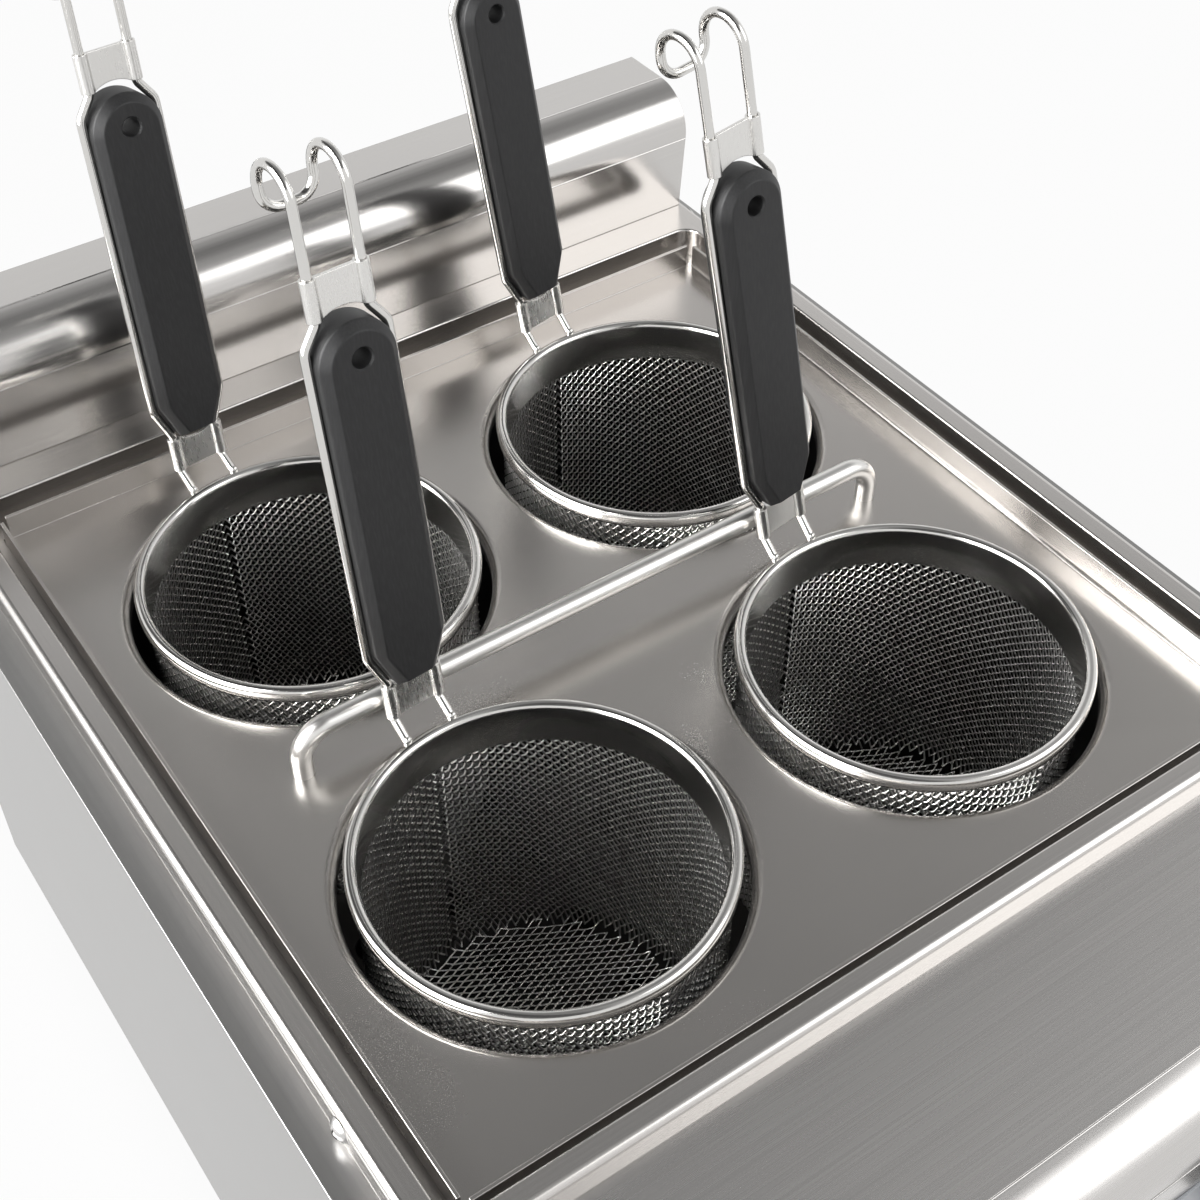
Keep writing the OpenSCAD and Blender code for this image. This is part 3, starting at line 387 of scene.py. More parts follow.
# The tank steel is darkened below 270 mm as painted shade for its dim inside; the false bottom and the
# element rack take it too.
TANK = Steel("tank_steel", (0.5, 0.48, 0.46), 0.4, Grain.Z, 0.1, 0.06, stain=0.06, stain_z=270 * MM)
POLISHED = Steel("polished_steel", (0.66, 0.65, 0.63), 0.14, Grain.NONE, 0.02, 0.04)
# Painted highlight: the warp wires get a much paler steel than the rest, standing in for the bright glints
# along them; the floor's cloth uses it too.
WARP = Steel("warp_steel_painted_highlight", (0.9, 0.89, 0.87), 0.27, Grain.NONE, 0.03, 0.04)
BAR = Steel("bar_steel", (0.72, 0.71, 0.69), 0.3, Grain.X, 0.06, 0.04)
# Painted shade: the weft wires get a darkened copy of the same wire steel, standing in for their dull, unlit
# look.
WEFT = Steel("weft_steel_painted_shade", (0.3, 0.295, 0.29), 0.3, Grain.NONE, 0.03, 0.04)
CLIP = Steel("clip_steel", (0.7, 0.69, 0.67), 0.28, Grain.Z, 0.05, 0.04)
SCREW = Steel("screw_steel", (0.62, 0.61, 0.6), 0.24)
ELEMENT = Steel("element_steel", (0.12, 0.11, 0.1), 0.45)
COPPER = Steel("copper", (0.72, 0.42, 0.28), 0.3)
PLATED = Steel("plated_brass", (0.68, 0.67, 0.65), 0.16)
GRIP = PaintedWood("grip_paint", (0.02, 0.02, 0.021), (0.032, 0.032, 0.033), HANDLE_LEAN)
BLACK = Moulded("black_plastic", (0.025, 0.025, 0.027), 0.45)
KNOB = Moulded("knob_plastic", (0.016, 0.016, 0.017), 0.32, coat=0.15)
CREAM = Moulded("cream_plastic", (0.7, 0.66, 0.57), 0.5)
RED = Moulded("red_plastic", (0.42, 0.03, 0.03), 0.38)
RUBBER = Moulded("black_rubber", (0.02, 0.02, 0.02), 0.7, 900.0, 0.03 * MM)
LACQUER = Moulded("dial_lacquer", (0.42, 0.44, 0.47), 0.35, 2500.0, 0.004 * MM)
PRINT = Moulded("white_print", (0.8, 0.8, 0.8), 0.5)
LENS = Moulded("lamp_lens", (0.8, 0.25, 0.03), 0.12, 300.0, coat=0.6, glow=0.15)


def link(data: bpy.types.ID, name: str) -> bpy.types.Object:
    """Put data into the scene as an object at the origin.

    Args:
        data: mesh, curve, light or camera.
        name: the object's name.

    Returns:
        The object.
    """
    made = bpy.data.objects.new(name, data)
    bpy.context.scene.collection.objects.link(made)
    return made


def add_piece(mesh: bpy.types.Mesh, name: str, body: str, finish: Finish,
              stands_for: Iterable[str] = ()) -> None:
    """Add a finished mesh to the object.

    Args:
        mesh: the mesh, in place.
        name: the piece's name.
        body: the body that it moves with.
        finish: its finish.
        stands_for: nodes that it replaces.
    """
    mesh.materials.clear()
    mesh.materials.append(material_of(finish))
    piece = link(mesh, name)
    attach(piece, body)
    if stands_for:
        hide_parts(*stands_for)
    LOG.info("%s: %d faces on %s", name, len(mesh.polygons), body)


def as_mesh(shell: bmesh.types.BMesh, name: str) -> bpy.types.Mesh:
    """Turn a working mesh into mesh data, and free it.

    Args:
        shell: the working mesh.
        name: the data's name.

    Returns:
        The mesh.
    """
    mesh = bpy.data.meshes.new(name)
    shell.to_mesh(mesh)
    shell.free()
    return mesh


def merged_shell(node: str) -> bmesh.types.BMesh:
    """Copy a node's loose triangles into one connected working mesh.

    Args:
        node: name of the node.

    Returns:
        The working mesh.
    """
    shell = bmesh.new()
    shell.from_mesh(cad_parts[node].data)
    bmesh.ops.remove_doubles(shell, verts=shell.verts, dist=MERGE)
    return shell


def facing(direction: Vector, axis: str = "Z") -> Matrix:
    """Turn that points an axis along a direction."""
    return direction.to_track_quat(axis, "Y").to_matrix().to_4x4()


def evaluated_mesh(source: bpy.types.Object) -> bpy.types.Mesh:
    """Turn an object with live modifiers into a plain mesh, and drop the object.

    Args:
        source: object with modifiers.

    Returns:
        The mesh that the modifiers give.
    """
    graph = bpy.context.evaluated_depsgraph_get()
    mesh = bpy.data.meshes.new_from_object(source.evaluated_get(graph), depsgraph=graph)
    bpy.data.objects.remove(source)
    return mesh


@dataclass(frozen=True)
class Rounding:
    """A larger rounding of the sharp edges that lie at one height within a rectangle."""

    level: float
    half_x: float
    low_y: float
    high_y: float
    width: float

    def holds(self, vert: bmesh.types.BMVert) -> bool:
        """Tell whether a point lies at that height within the rectangle."""
        x, y, z = vert.co
        return abs(z - self.level) < SAME_LEVEL and abs(x) < self.half_x and self.low_y < y < self.high_y

    def apply(self, shell: bmesh.types.BMesh) -> None:
        """Round those edges of a mesh."""
        sharp = [e for e in shell.edges if e.calc_face_angle(0.0) > SHARP and all(map(self.holds, e.verts))]
        bmesh.ops.bevel(shell, geom=sharp, offset=self.width, segments=4, profile=0.5, affect="EDGES")


def eased_copy(node: str, width: float, rounding: Rounding | None = None) -> bpy.types.Mesh:
    """Copy a node's mesh with its sharp edges slightly rounded.

    Args:
        node: name of the node.
        width: width of the rounding; 0 leaves the edges sharp.
        rounding: edges with a larger rounding, if any.

    Returns:
        The smooth-shaded copy.
    """
    shell = merged_shell(node)
    bmesh.ops.dissolve_limit(shell, angle_limit=COPLANAR, verts=shell.verts, edges=shell.edges)
    if rounding:
        rounding.apply(shell)
    return flat_faced(as_mesh(shell, f"{node}_eased"), width)


def flat_faced(mesh: bpy.types.Mesh, width: float = 0.0) -> bpy.types.Mesh:
    """Shade a mesh smooth with its large faces kept flat.

    Args:
        mesh: the mesh; it is used up.
        width: width by which its sharp edges are rounded.

    Returns:
        The shaded mesh.
    """
    mesh.shade_smooth()
    mesh.set_sharp_from_angle(angle=SHARP)
    copy = link(mesh, mesh.name)
    if width:
        bevel = copy.modifiers.new("ease", "BEVEL")
        bevel.width = width
        bevel.segments = 3
        bevel.limit_method = "ANGLE"
        bevel.angle_limit = SHARP
        bevel.use_clamp_overlap = False
    weighted = copy.modifiers.new("flat_faces", "WEIGHTED_NORMAL")
    weighted.keep_sharp = True
    return evaluated_mesh(copy)


def dress(node: str, body: str, finish: Finish, width: float,
          rounding: Rounding | None = None) -> None:
    """Stand a copy of a node, eased by a width and a larger rounding if any, in the node's place."""
    add_piece(eased_copy(node, width, rounding), f"{node}_dressed", body, finish, [node])


def islands(node: str) -> list[tuple[Vector, Vector]]:
    """Find the separate solids of a node.

    Args:
        node: name of the node.

    Returns:
        Lowest and highest corner of each solid.
    """
    shell = merged_shell(node)
    left = set(shell.verts)
    found = []
    while left:
        group = [left.pop()]
        for vert in group:
            near = {e.other_vert(vert) for e in vert.link_edges} & left
            left -= near
            group.extend(near)
        corners = list(zip(*(v.co for v in group)))
        found.append((Vector(map(min, corners)), Vector(map(max, corners))))
    shell.free()
    return sorted(found, key=lambda pair: tuple(round(c, 4) for c in pair[0]))


def revolved(profile: Sequence[Point], segments: int, closed: bool = False) -> bpy.types.Mesh:
    """Turn a profile round the Z axis.

    Args:
        profile: points as radius and height.
        segments: number of steps round the axis.
        closed: True joins the profile's last point to its first.

    Returns:
        The smooth-shaded mesh, centred on the axis.
    """
    shell = bmesh.new()
    rings = []
    for step in range(segments):
        angle = math.tau * step / segments
        rings.append([shell.verts.new((r * math.cos(angle), r * math.sin(angle), z)) for r, z in profile])
    last = len(profile) if closed else len(profile) - 1
    for step, ring in enumerate(rings):
        after = rings[(step + 1) % segments]
        for i in range(last):
            k = (i + 1) % len(profile)
            shell.faces.new((ring[i], after[i], after[k], ring[k]))
    bmesh.ops.remove_doubles(shell, verts=shell.verts, dist=ON_AXIS)
    bmesh.ops.recalc_face_normals(shell, faces=shell.faces)
    mesh = as_mesh(shell, "revolved")
    mesh.shade_smooth()
    return mesh


def arc(center: Point, radius: float, start: float, end: float, steps: int) -> list[Point]:
    """Points along an arc, both ends included, from one angle to another in degrees."""
    angles = [math.radians(start + (end - start) * i / steps) for i in range(steps + 1)]
    return [(center[0] + radius * math.cos(a), center[1] + radius * math.sin(a)) for a in angles]


class Part(Enum):
    """What can be deleted from a mesh: its domain, and the mode that goes with it."""

    POINTS = ("POINT", "ALL")
    EDGES = ("EDGE", "EDGE_FACE")


class GeometryGraph(Graph):
    """A Geometry Nodes tree with named inputs, which ends in one material."""

    KINDS = {int: "NodeSocketInt", float: "NodeSocketFloat", "geometry": "NodeSocketGeometry",
             "material": "NodeSocketMaterial"}

    def __init__(self, name: str, inputs: dict[str, Any]) -> None:
        """Start a tree.

        Args:
            name: the tree's name.
            inputs: kind of each named input.
        """
        super().__init__(bpy.data.node_groups.new(name, "GeometryNodeTree"))
        named = {"Base": "geometry", **inputs, "Finish": "material"}
        add_socket = self.tree.interface.new_socket
        self.sockets = {
            label: add_socket(label, in_out="INPUT", socket_type=self.KINDS[kind]).identifier
            for label, kind in named.items()
        }
        add_socket("Shape", in_out="OUTPUT", socket_type="NodeSocketGeometry")
        self.source = self.node("NodeGroupInput")

    def given(self, label: str) -> Value:
        """Take a named input of the tree."""
        return Value(self, self.source.outputs[label])

    def end(self, shape: Value) -> None:
        """Realize, smooth and dress the shape, and put it out.

        Args:
            shape: geometry to put out.
        """
        real = self.value("GeometryNodeRealizeInstances", inputs={"Geometry": shape})
        smooth = self.value("GeometryNodeSetShadeSmooth", inputs={"Geometry": real})
        dressed = self.value("GeometryNodeSetMaterial",
                             inputs={"Geometry": smooth, "Material": self.given("Finish")})
        self.node("NodeGroupOutput", inputs={"Shape": dressed})

    def section_along(self, curve: Value, radius: Value, sides: Any) -> Value:
        """Carry a round section with closed ends along curves."""
        section = self.value("GeometryNodeCurvePrimitiveCircle",
                             inputs={"Resolution": sides, "Radius": radius})
        return self.value("GeometryNodeCurveToMesh",
                          inputs={"Curve": curve, "Profile Curve": section, "Fill Caps": True})

    def wires(self, lines: Value, radius: Value) -> Value:
        """Give a round section to the edges of a mesh."""
        curve = self.value("GeometryNodeMeshToCurve", inputs={"Mesh": lines})
        return self.section_along(curve, radius, CLOTH_SIDES)

    def without(self, shape: Value, chosen: Value, part: Part) -> Value:
        """Delete the chosen points or edges of a mesh."""
        domain, mode = part.value
        return self.value("GeometryNodeDeleteGeometry", {"domain": domain, "mode": mode},
                          {"Geometry": shape, "Selection": chosen})

    def moved(self, shape: Value, x: Value, y: Value, z: Value) -> Value:
        """Set the place of every point of a mesh."""
        place = self.value("ShaderNodeCombineXYZ", inputs={0: x, 1: y, 2: z})
        return self.value("GeometryNodeSetPosition", inputs={"Geometry": shape, "Position": place})

    def edge_step(self) -> Value:
        """Distance between the point numbers at the two ends of an edge."""
        ends = self.node("GeometryNodeInputMeshEdgeVertices")
        return abs(Value(self, ends.outputs[0]) - Value(self, ends.outputs[1]))

    def run(self, settings: dict[str, Any], finish: Finish,
            base: bpy.types.ID | None = None) -> bpy.types.Mesh:
        """Run the tree once.

        Args:
            settings: value of each named input.
            finish: finish of the result.
            base: mesh or curve that the tree starts from, if it has one.

        Returns:
            The result as a plain mesh.
        """
        carrier = link(base or bpy.data.meshes.new("carrier"), "carrier")
        modifier = carrier.modifiers.new("nodes", "NODES")
        modifier.node_group = self.tree
        for label, setting in settings.items():
            modifier[self.sockets[label]] = setting
        modifier[self.sockets["Finish"]] = material_of(finish)
        return evaluated_mesh(carrier)


@functools.cache
def round_wire() -> GeometryGraph:
    """Tree that gives a curve a round section.

    Returns:
        The tree, with inputs Radius and Sides.
    """
    graph = GeometryGraph("round_wire", {"Radius": float, "Sides": int})
    graph.end(graph.section_along(graph.given("Base"), graph.given("Radius"), graph.given("Sides")))
    return graph


def wire_mesh(points: Sequence[Vector], radius: float, sides: int, finish: Finish) -> bpy.types.Mesh:
    """Carry a round section along a line of points.

    Args:
        points: the line.
        radius: radius of the section.
        sides: number of its sides.
        finish: the wire's finish.

    Returns:
        The wire's mesh.
    """
    curve = bpy.data.curves.new("line", "CURVE")
    curve.dimensions = "3D"
    spline = curve.splines.new("POLY")
    spline.points.add(len(points) - 1)
    for target, point in zip(spline.points, points):
        target.co = (*point, 1.0)
    return round_wire().run({"Radius": radius, "Sides": sides}, finish, curve)


@functools.cache
def woven_wall() -> GeometryGraph:
    """Tree of one set of wires of half a tube of cloth; they lean round it, over and under the other set.

    Returns:
        The tree, with inputs for the counts, the lean, the hand, the tube's sizes and the wire.
    """
    graph = GeometryGraph("woven_wall", {
        "Wires": int, "Other Wires": int, "Steps": int, "Drop": float, "Lean": float, "Hand": float,
        "Radius": float, "Top": float, "Bottom": float, "Edge": float, "Wire Radius": float, "Weave": float,
        "Arc Middle": float})
    own, other, steps = graph.given("Wires"), graph.given("Other Wires"), graph.given("Steps")
    lean, edge = graph.given("Lean"), graph.given("Edge")
    grid = graph.value("GeometryNodeMeshGrid", inputs={"Vertices X": own, "Vertices Y": steps})
    index = graph.value("GeometryNodeInputIndex")
    along = index % steps
    wire = (index - along) / steps
    crossed = wire * other / own * lean
    whole = crossed.apply("FLOOR")
    down = along + crossed - whole
    angle = (wire / own - lean * down / (own + other)) * graph.given("Hand") * math.tau
    height = graph.given("Top") - down * graph.given("Drop")
    low = (graph.given("Bottom") + edge - height).apply("MAXIMUM", 0.0)
    curl = (edge * edge - low * low).apply("MAXIMUM", 0.0).apply("SQRT")
    over = (1 - ((wire + along + whole * lean) % 2) * 2) * lean * graph.given("Weave")
    radius = graph.given("Radius") - edge + curl + over
    tube = graph.moved(grid, radius * angle.apply("COSINE"), radius * angle.apply("SINE"), height)
    lines = graph.without(tube, graph.edge_step() > ROW_STEP, Part.EDGES)
    spot = graph.value("GeometryNodeInputPosition")
    turned = graph.axis(spot, 1).apply("ARCTAN2", graph.axis(spot, 0))
    away = (turned - graph.given("Arc Middle")).apply("COSINE") < 0.0
    graph.end(graph.wires(graph.without(lines, away, Part.POINTS), graph.given("Wire Radius")))
    return graph


@functools.cache
def woven_floor() -> GeometryGraph:
    """Tree of a round piece of cloth, drawn out into diamonds.

    Returns:
        The tree, with inputs for the count, the spacing, the two directions and the wire.
    """
    graph = GeometryGraph("woven_floor", {
        "Wires": int, "Pitch": float, "First": float, "Second": float, "Radius": float, "Flat Radius": float,
        "Edge": float, "Level": float, "Wire Radius": float, "Weave": float})
    count, pitch, edge = graph.given("Wires"), graph.given("Pitch"), graph.given("Edge")
    first, second = graph.given("First"), graph.given("Second")
    middle = (count - 1) / 2
    sets = []
    for side in (1, -1):
        grid = graph.value("GeometryNodeMeshGrid", inputs={"Vertices X": count, "Vertices Y": count})
        index = graph.value("GeometryNodeInputIndex")
        along = index % count
        wire = (index - along) / count
        a, b = (wire - middle) * pitch, (along - middle) * pitch
        x = a * first.apply("COSINE") + b * second.apply("COSINE")
        y = a * first.apply("SINE") + b * second.apply("SINE")
        over = (1 - ((wire + along) % 2) * 2) * side * graph.given("Weave")
        past = ((x * x + y * y).apply("SQRT") - graph.given("Flat Radius")).apply("MAXIMUM", 0.0)
        lift = edge - (edge * edge - past * past).apply("MAXIMUM", 0.0).apply("SQRT")
        cloth = graph.moved(grid, x, y, graph.given("Level") + lift + over)
        step = graph.edge_step()
        lines = graph.without(cloth, step > ROW_STEP if side > 0 else step < ROW_STEP, Part.EDGES)
        spot = graph.value("GeometryNodeInputPosition")
        east, north = graph.axis(spot, 0), graph.axis(spot, 1)
        outside = (east * east + north * north).apply("SQRT") > graph.given("Radius")
        sets.append(graph.wires(graph.without(lines, outside, Part.POINTS), graph.given("Wire Radius")))
    graph.end(graph.value("GeometryNodeJoinGeometry", inputs={0: sets}))
    return graph


@functools.cache
def ring_of_copies() -> GeometryGraph:
    """Tree that sets copies of a mesh round the Z axis, an equal step apart.

    Returns:
        The tree, with inputs Count and Step.
    """
    graph = GeometryGraph("ring_of_copies", {"Count": int, "Step": float})
    spots = graph.value("GeometryNodeMeshLine",
                        inputs={"Count": graph.given("Count"), "Offset": (0.0, 0.0, 0.0)})
    turn = graph.value("GeometryNodeInputIndex") * graph.given("Step")
    rotation = graph.value("ShaderNodeCombineXYZ", inputs={2: turn})
    graph.end(graph.value("GeometryNodeInstanceOnPoints", inputs={
        "Points": spots, "Instance": graph.given("Base"), "Rotation": rotation}))
    return graph


def joined(meshes: Sequence[bpy.types.Mesh]) -> bpy.types.Mesh:
    """Put several meshes into one.

    Args:
        meshes: meshes to join; they are removed.

    Returns:
        The joined mesh.
    """
    shell = bmesh.new()
    for mesh in meshes:
        shell.from_mesh(mesh)
        bpy.data.meshes.remove(mesh)
    return as_mesh(shell, "joined")


def bent_line(corners: Sequence[tuple[Vector, float]], steps: int) -> list[Vector]:
    """Round the corners of a line.

    Args:
        corners: points, each with the radius of its bend.
        steps: number of steps in a bend.

    Returns:
        The points of the bent line.
    """
    line = [corners[0][0]]
    for before, (point, radius), after in zip(corners, corners[1:], corners[2:]):
        back = (before[0] - point).normalized()
        ahead = (after[0] - point).normalized()
        half = back.angle(ahead) / 2
        turn = math.pi - 2 * half
        middle = point + (back + ahead).normalized() * radius / math.sin(half)
        start = point + back * radius / math.tan(half) - middle
        finish = point + ahead * radius / math.tan(half) - middle
        for i in range(steps + 1):
            share = turn * i / steps
            line.append(middle + (math.sin(turn - share) * start + math.sin(share) * finish) / math.sin(turn))
    line.append(corners[-1][0])
    return line


class WireSet(Enum):
    """The two sets of wires in the cloth of a basket's wall, by the way they lean."""

    WARP = 1
    WEFT = -1


@dataclass
class Basket:
    """A round woven basket on a leaning handle, drawn about the middle of its rim."""

    name: str
    turn: float
    rock: float
    rim_r: float = 64.7 * MM
    bead_r: float = 2.3 * MM
    bead_h: float = 7 * MM
    bead_tuck: float = 130.0
    rim_segments: int = 144
    band_r: float = 62.4 * MM
    band_t: float = 0.8 * MM
    band_h: float = 12 * MM
    depth: float = 130 * MM
    cloth_r: float = 63.9 * MM
    cloth_gap: float = 0.3 * MM
    cloth_wire: float = 0.38 * MM
    cloth_edge: float = 8 * MM
    warp_wires: int = 94
    weft_wires: int = 174
    warp_drop: float = 1.45 * MM
    crimps: Pair = (0.48 * MM, 0.2 * MM)
    fold_at: float = math.radians(90)
    floor_wires: int = 47
    floor_pitch: float = 3.7 * MM
    floor_lines: Pair = (math.radians(-33), math.radians(16))
    floor_trim: float = 2.4 * MM
    floor_wire: float = 0.323 * MM
    floor_crimp: float = 0.304 * MM
    wire_r: float = 1.75 * MM
    wire_sides: int = 16
    bend_steps: int = 10
    wire_x: float = 9.5 * MM
    weld_r: float = 2.6 * MM
    weld_shape: Triple = (0.8, 1.15, 0.55)
    clip_reach: float = 75 * MM
    clip_rise: float = 15.5 * MM
    clip_half: float = 7 * MM
    clip_spacing: float = 156 * MM
    clip_room: float = 1 * MM
    clip_bend: float = 4 * MM
    clip_edge: float = 0.2 * MM
    grip_low: float = 9.5 * MM
    grip_high: float = 147.5 * MM
    grip_half: float = 14 * MM
    grip_foot: float = 8 * MM
    grip_taper: float = 15 * MM
    grip_t: float = 16 * MM
    grip_bend: float = 6 * MM
    bend_drop: float = 3.5 * MM
    chamfer: tuple[Pair, ...] = ((3.5 * MM, 0.0), (3.05 * MM, 0.08 * MM), (2.65 * MM, 0.4 * MM),
                                 (0.4 * MM, 2.65 * MM), (0.08 * MM, 3.05 * MM), (0.0, 3.5 * MM))
    grip_hole: float = 3.5 * MM
    hole_rise: float = 2 * MM
    hole_ease: float = 0.6 * MM
    hole_steps: int = 32
    groove: float = 0.8 * MM
    groove_lip: float = 0.1 * MM
    groove_floor: float = 0.7
    groove_steps: int = 8
    hook_top: float = 196 * MM
    hook_back: float = 20 * MM
    hook_drop: float = 18 * MM
    hook_slack: float = 0.1 * MM
    loop_bend: float = 7 * MM

    @property
    def middle(self) -> Vector:
        """Middle of the rim's bead, from the frame."""
        low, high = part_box(f"{self.name}_rim")
        return Vector(((low.x + high.x) / 2, (low.y + high.y) / 2, high.z - self.bead_r))

    def at_handle(self, x: float, out: float, up: float) -> Vector:
        """A point of the leaning handle about the rim's middle: across, outwards, up from the lower clip."""
        place = (Matrix.Translation((0.0, self.clip_reach, self.clip_rise))
                 @ Matrix.Rotation(-HANDLE_LEAN, 4, "X") @ Matrix.Rotation(self.rock, 4, "Y"))
        return place @ Vector((x, out, up))

    def build(self) -> None:
        """Make and dress the basket's pieces; the warp stands for the mesh, and the weft is added to it."""
        body = f"{self.name}_basket"
        # The warp and the floor take the pale wire finish, a painted highlight; the weft takes the dark copy,
        # painted shade.
        pieces = [
            (self.rim(), "rim", POLISHED, "rim_steel"),
            (joined([*self.wall(WireSet.WARP), self.floor()]), "mesh", WARP, "mesh_steel"),
            (self.wire(), "wire", POLISHED, "wire_steel"),
            (self.grip(), "grip", GRIP, "grip_wood"),
            (joined(self.wall(WireSet.WEFT)), "weft", WEFT, "mesh_steel"),
        ]
        place = Matrix.Translation(self.middle) @ Matrix.Rotation(self.turn, 4, "Z")
        for mesh, part, finish, slot in pieces:
            mesh.transform(place)
            node = f"{self.name}_{part}"
            add_piece(mesh, f"{node}_dressed", body, finish, [node] if part != "weft" else [])
        dress(f"{self.name}_clips", body, CLIP, self.clip_edge)

    def rim(self) -> bpy.types.Mesh:
        """Rolled bead with a band that hangs inside the cloth.

        Returns:
            The rim's mesh.
        """
        outer = self.band_r + self.band_t
        low = 2 * self.bead_r - self.bead_h
        foot = low - self.bead_r - self.band_h
        hem = self.band_t / 2
        bead = [*arc((self.rim_r, low), self.bead_r, -self.bead_tuck, 0, 14),
                *arc((self.rim_r, 0.0), self.bead_r, 0, 180, 18)]
        band = [(self.band_r, foot + hem), *arc((outer - hem, foot + hem), hem, 180, 360, 6),
                (outer, low - self.bead_r)]
        return revolved([*bead, *band], self.rim_segments, closed=True)

    @property
    def cloth_low(self) -> float:
        """Height of the middle of the floor's cloth."""
        return -self.depth + 2 * self.cloth_wire

    def wall(self, wires: WireSet) -> list[bpy.types.Mesh]:
        """One set of the wall's wires, in two halves that mirror each other across the fold.

        Args:
            wires: the set.

        Returns:
            The meshes of the halves.
        """
        top = self.bead_r - self.bead_h - self.cloth_gap
        lean = wires.value
        own, other = (self.warp_wires, self.weft_wires)[::lean]
        drop = self.warp_drop * own / self.warp_wires
        steps = int((top - self.cloth_low) / drop)
        shared = {"Wires": own, "Other Wires": other, "Steps": steps, "Drop": drop, "Lean": float(lean),
                  "Radius": self.cloth_r, "Top": top, "Bottom": self.cloth_low, "Edge": self.cloth_edge,
                  "Wire Radius": self.cloth_wire, "Weave": self.crimps[::lean][0]}
        halves = []
        for hand in (-1.0, 1.0):
            # The warp is given the painted-highlight finish and the weft the painted-shade finish.
            half = woven_wall().run({**shared, "Hand": hand, "Arc Middle": hand * math.pi / 2},
                                    WARP if wires is WireSet.WARP else WEFT)
            half.transform(Matrix.Rotation(self.fold_at, 4, "Z"))
            halves.append(half)
        return halves

    def floor(self) -> bpy.types.Mesh:
        """Round piece of cloth at the bottom, drawn out into diamonds and turned up at its edge."""
        return woven_floor().run({
            "Wires": self.floor_wires, "Pitch": self.floor_pitch, "First": self.floor_lines[0],
            "Second": self.floor_lines[1], "Radius": self.cloth_r - self.floor_trim,
            "Flat Radius": self.cloth_r - self.cloth_edge, "Edge": self.cloth_edge, "Level": self.cloth_low,
            "Wire Radius": self.floor_wire, "Weave": self.floor_crimp}, WARP)

    def wire(self) -> bpy.types.Mesh:
        """One wire from the rim through both clips, round the grip and over the double hook, and back.

        Returns:
            The wire's mesh.
        """
        low = self.clip_half + self.clip_room
        beside = self.grip_half + self.wire_r - self.groove
        hook = self.hook_back / 2 - self.hook_slack
        sides = []
        for s in (-1, 1):
            x = s * self.wire_x
            bead = Vector((x, math.sqrt(self.rim_r ** 2 - self.wire_x ** 2), 0.0))
            foot = self.at_handle(x, 0.0, -low)
            taper_top = self.grip_low + self.grip_taper
            round_middle = self.grip_high - self.grip_half
            sides.append([
                (bead + (foot - bead).normalized() * self.bead_r, 0.0),
                (foot, self.clip_bend),
                (self.at_handle(x, 0.0, low), self.clip_bend),
                (self.at_handle(s * beside, 0.0, taper_top - self.bend_drop), self.grip_bend),
                (self.at_handle(s * beside, 0.0, round_middle + self.grip_half / 2), self.grip_bend),
                (self.at_handle(x, 0.0, self.clip_spacing - low), self.clip_bend),
                (self.at_handle(x, 0.0, self.hook_top), hook),
                (self.at_handle(x, self.hook_back, self.hook_top), hook),
                (self.at_handle(x, self.hook_back, self.hook_top - self.hook_drop), self.loop_bend),
            ])
        line = bent_line([*sides[0], *reversed(sides[1])], self.bend_steps)
        wire = wire_mesh(line, self.wire_r, self.wire_sides, POLISHED)
        return joined([wire, *(self.weld(end[0][0]) for end in sides)])

    def weld(self, place: Vector) -> bpy.types.Mesh:
        """Flattened bead of weld at the foot of the wire.

        Args:
            place: end of the wire on the rim.

        Returns:
            The weld's mesh.
        """
        mesh = revolved(arc((0.0, 0.0), self.weld_r, -90, 90, 10), 16)
        outwards = facing(Vector((place.x, place.y, self.bead_r)))
        mesh.transform(Matrix.Translation(place) @ outwards @ Matrix.Diagonal((*self.weld_shape, 1.0)))
        return mesh

    def grip_outline(self, inset: float, groove: float = 0.0) -> list[Point]:
        """Outline of the grip, taken in evenly.

        Args:
            inset: how far it is taken in.
            groove: extra depth along the straight sides.

        Returns:
            Points as distance across and along, counter-clockwise from the lower left.
        """
        half, foot = self.grip_half - inset, self.grip_foot - inset
        side = half - groove
        low, shoulder = self.grip_low + inset / 2, self.grip_low + self.grip_taper
        top = self.grip_high - self.grip_half
        steps = self.groove_steps
        heights = [shoulder + (top - shoulder) * i / steps for i in range(1, steps)]
        right = [(foot, low), (half, shoulder), *((side, h) for h in heights)]
        left = [(-x, y) for x, y in reversed(right)]
        return [*right, *arc((0.0, top), half, 0, 180, 32), *left]

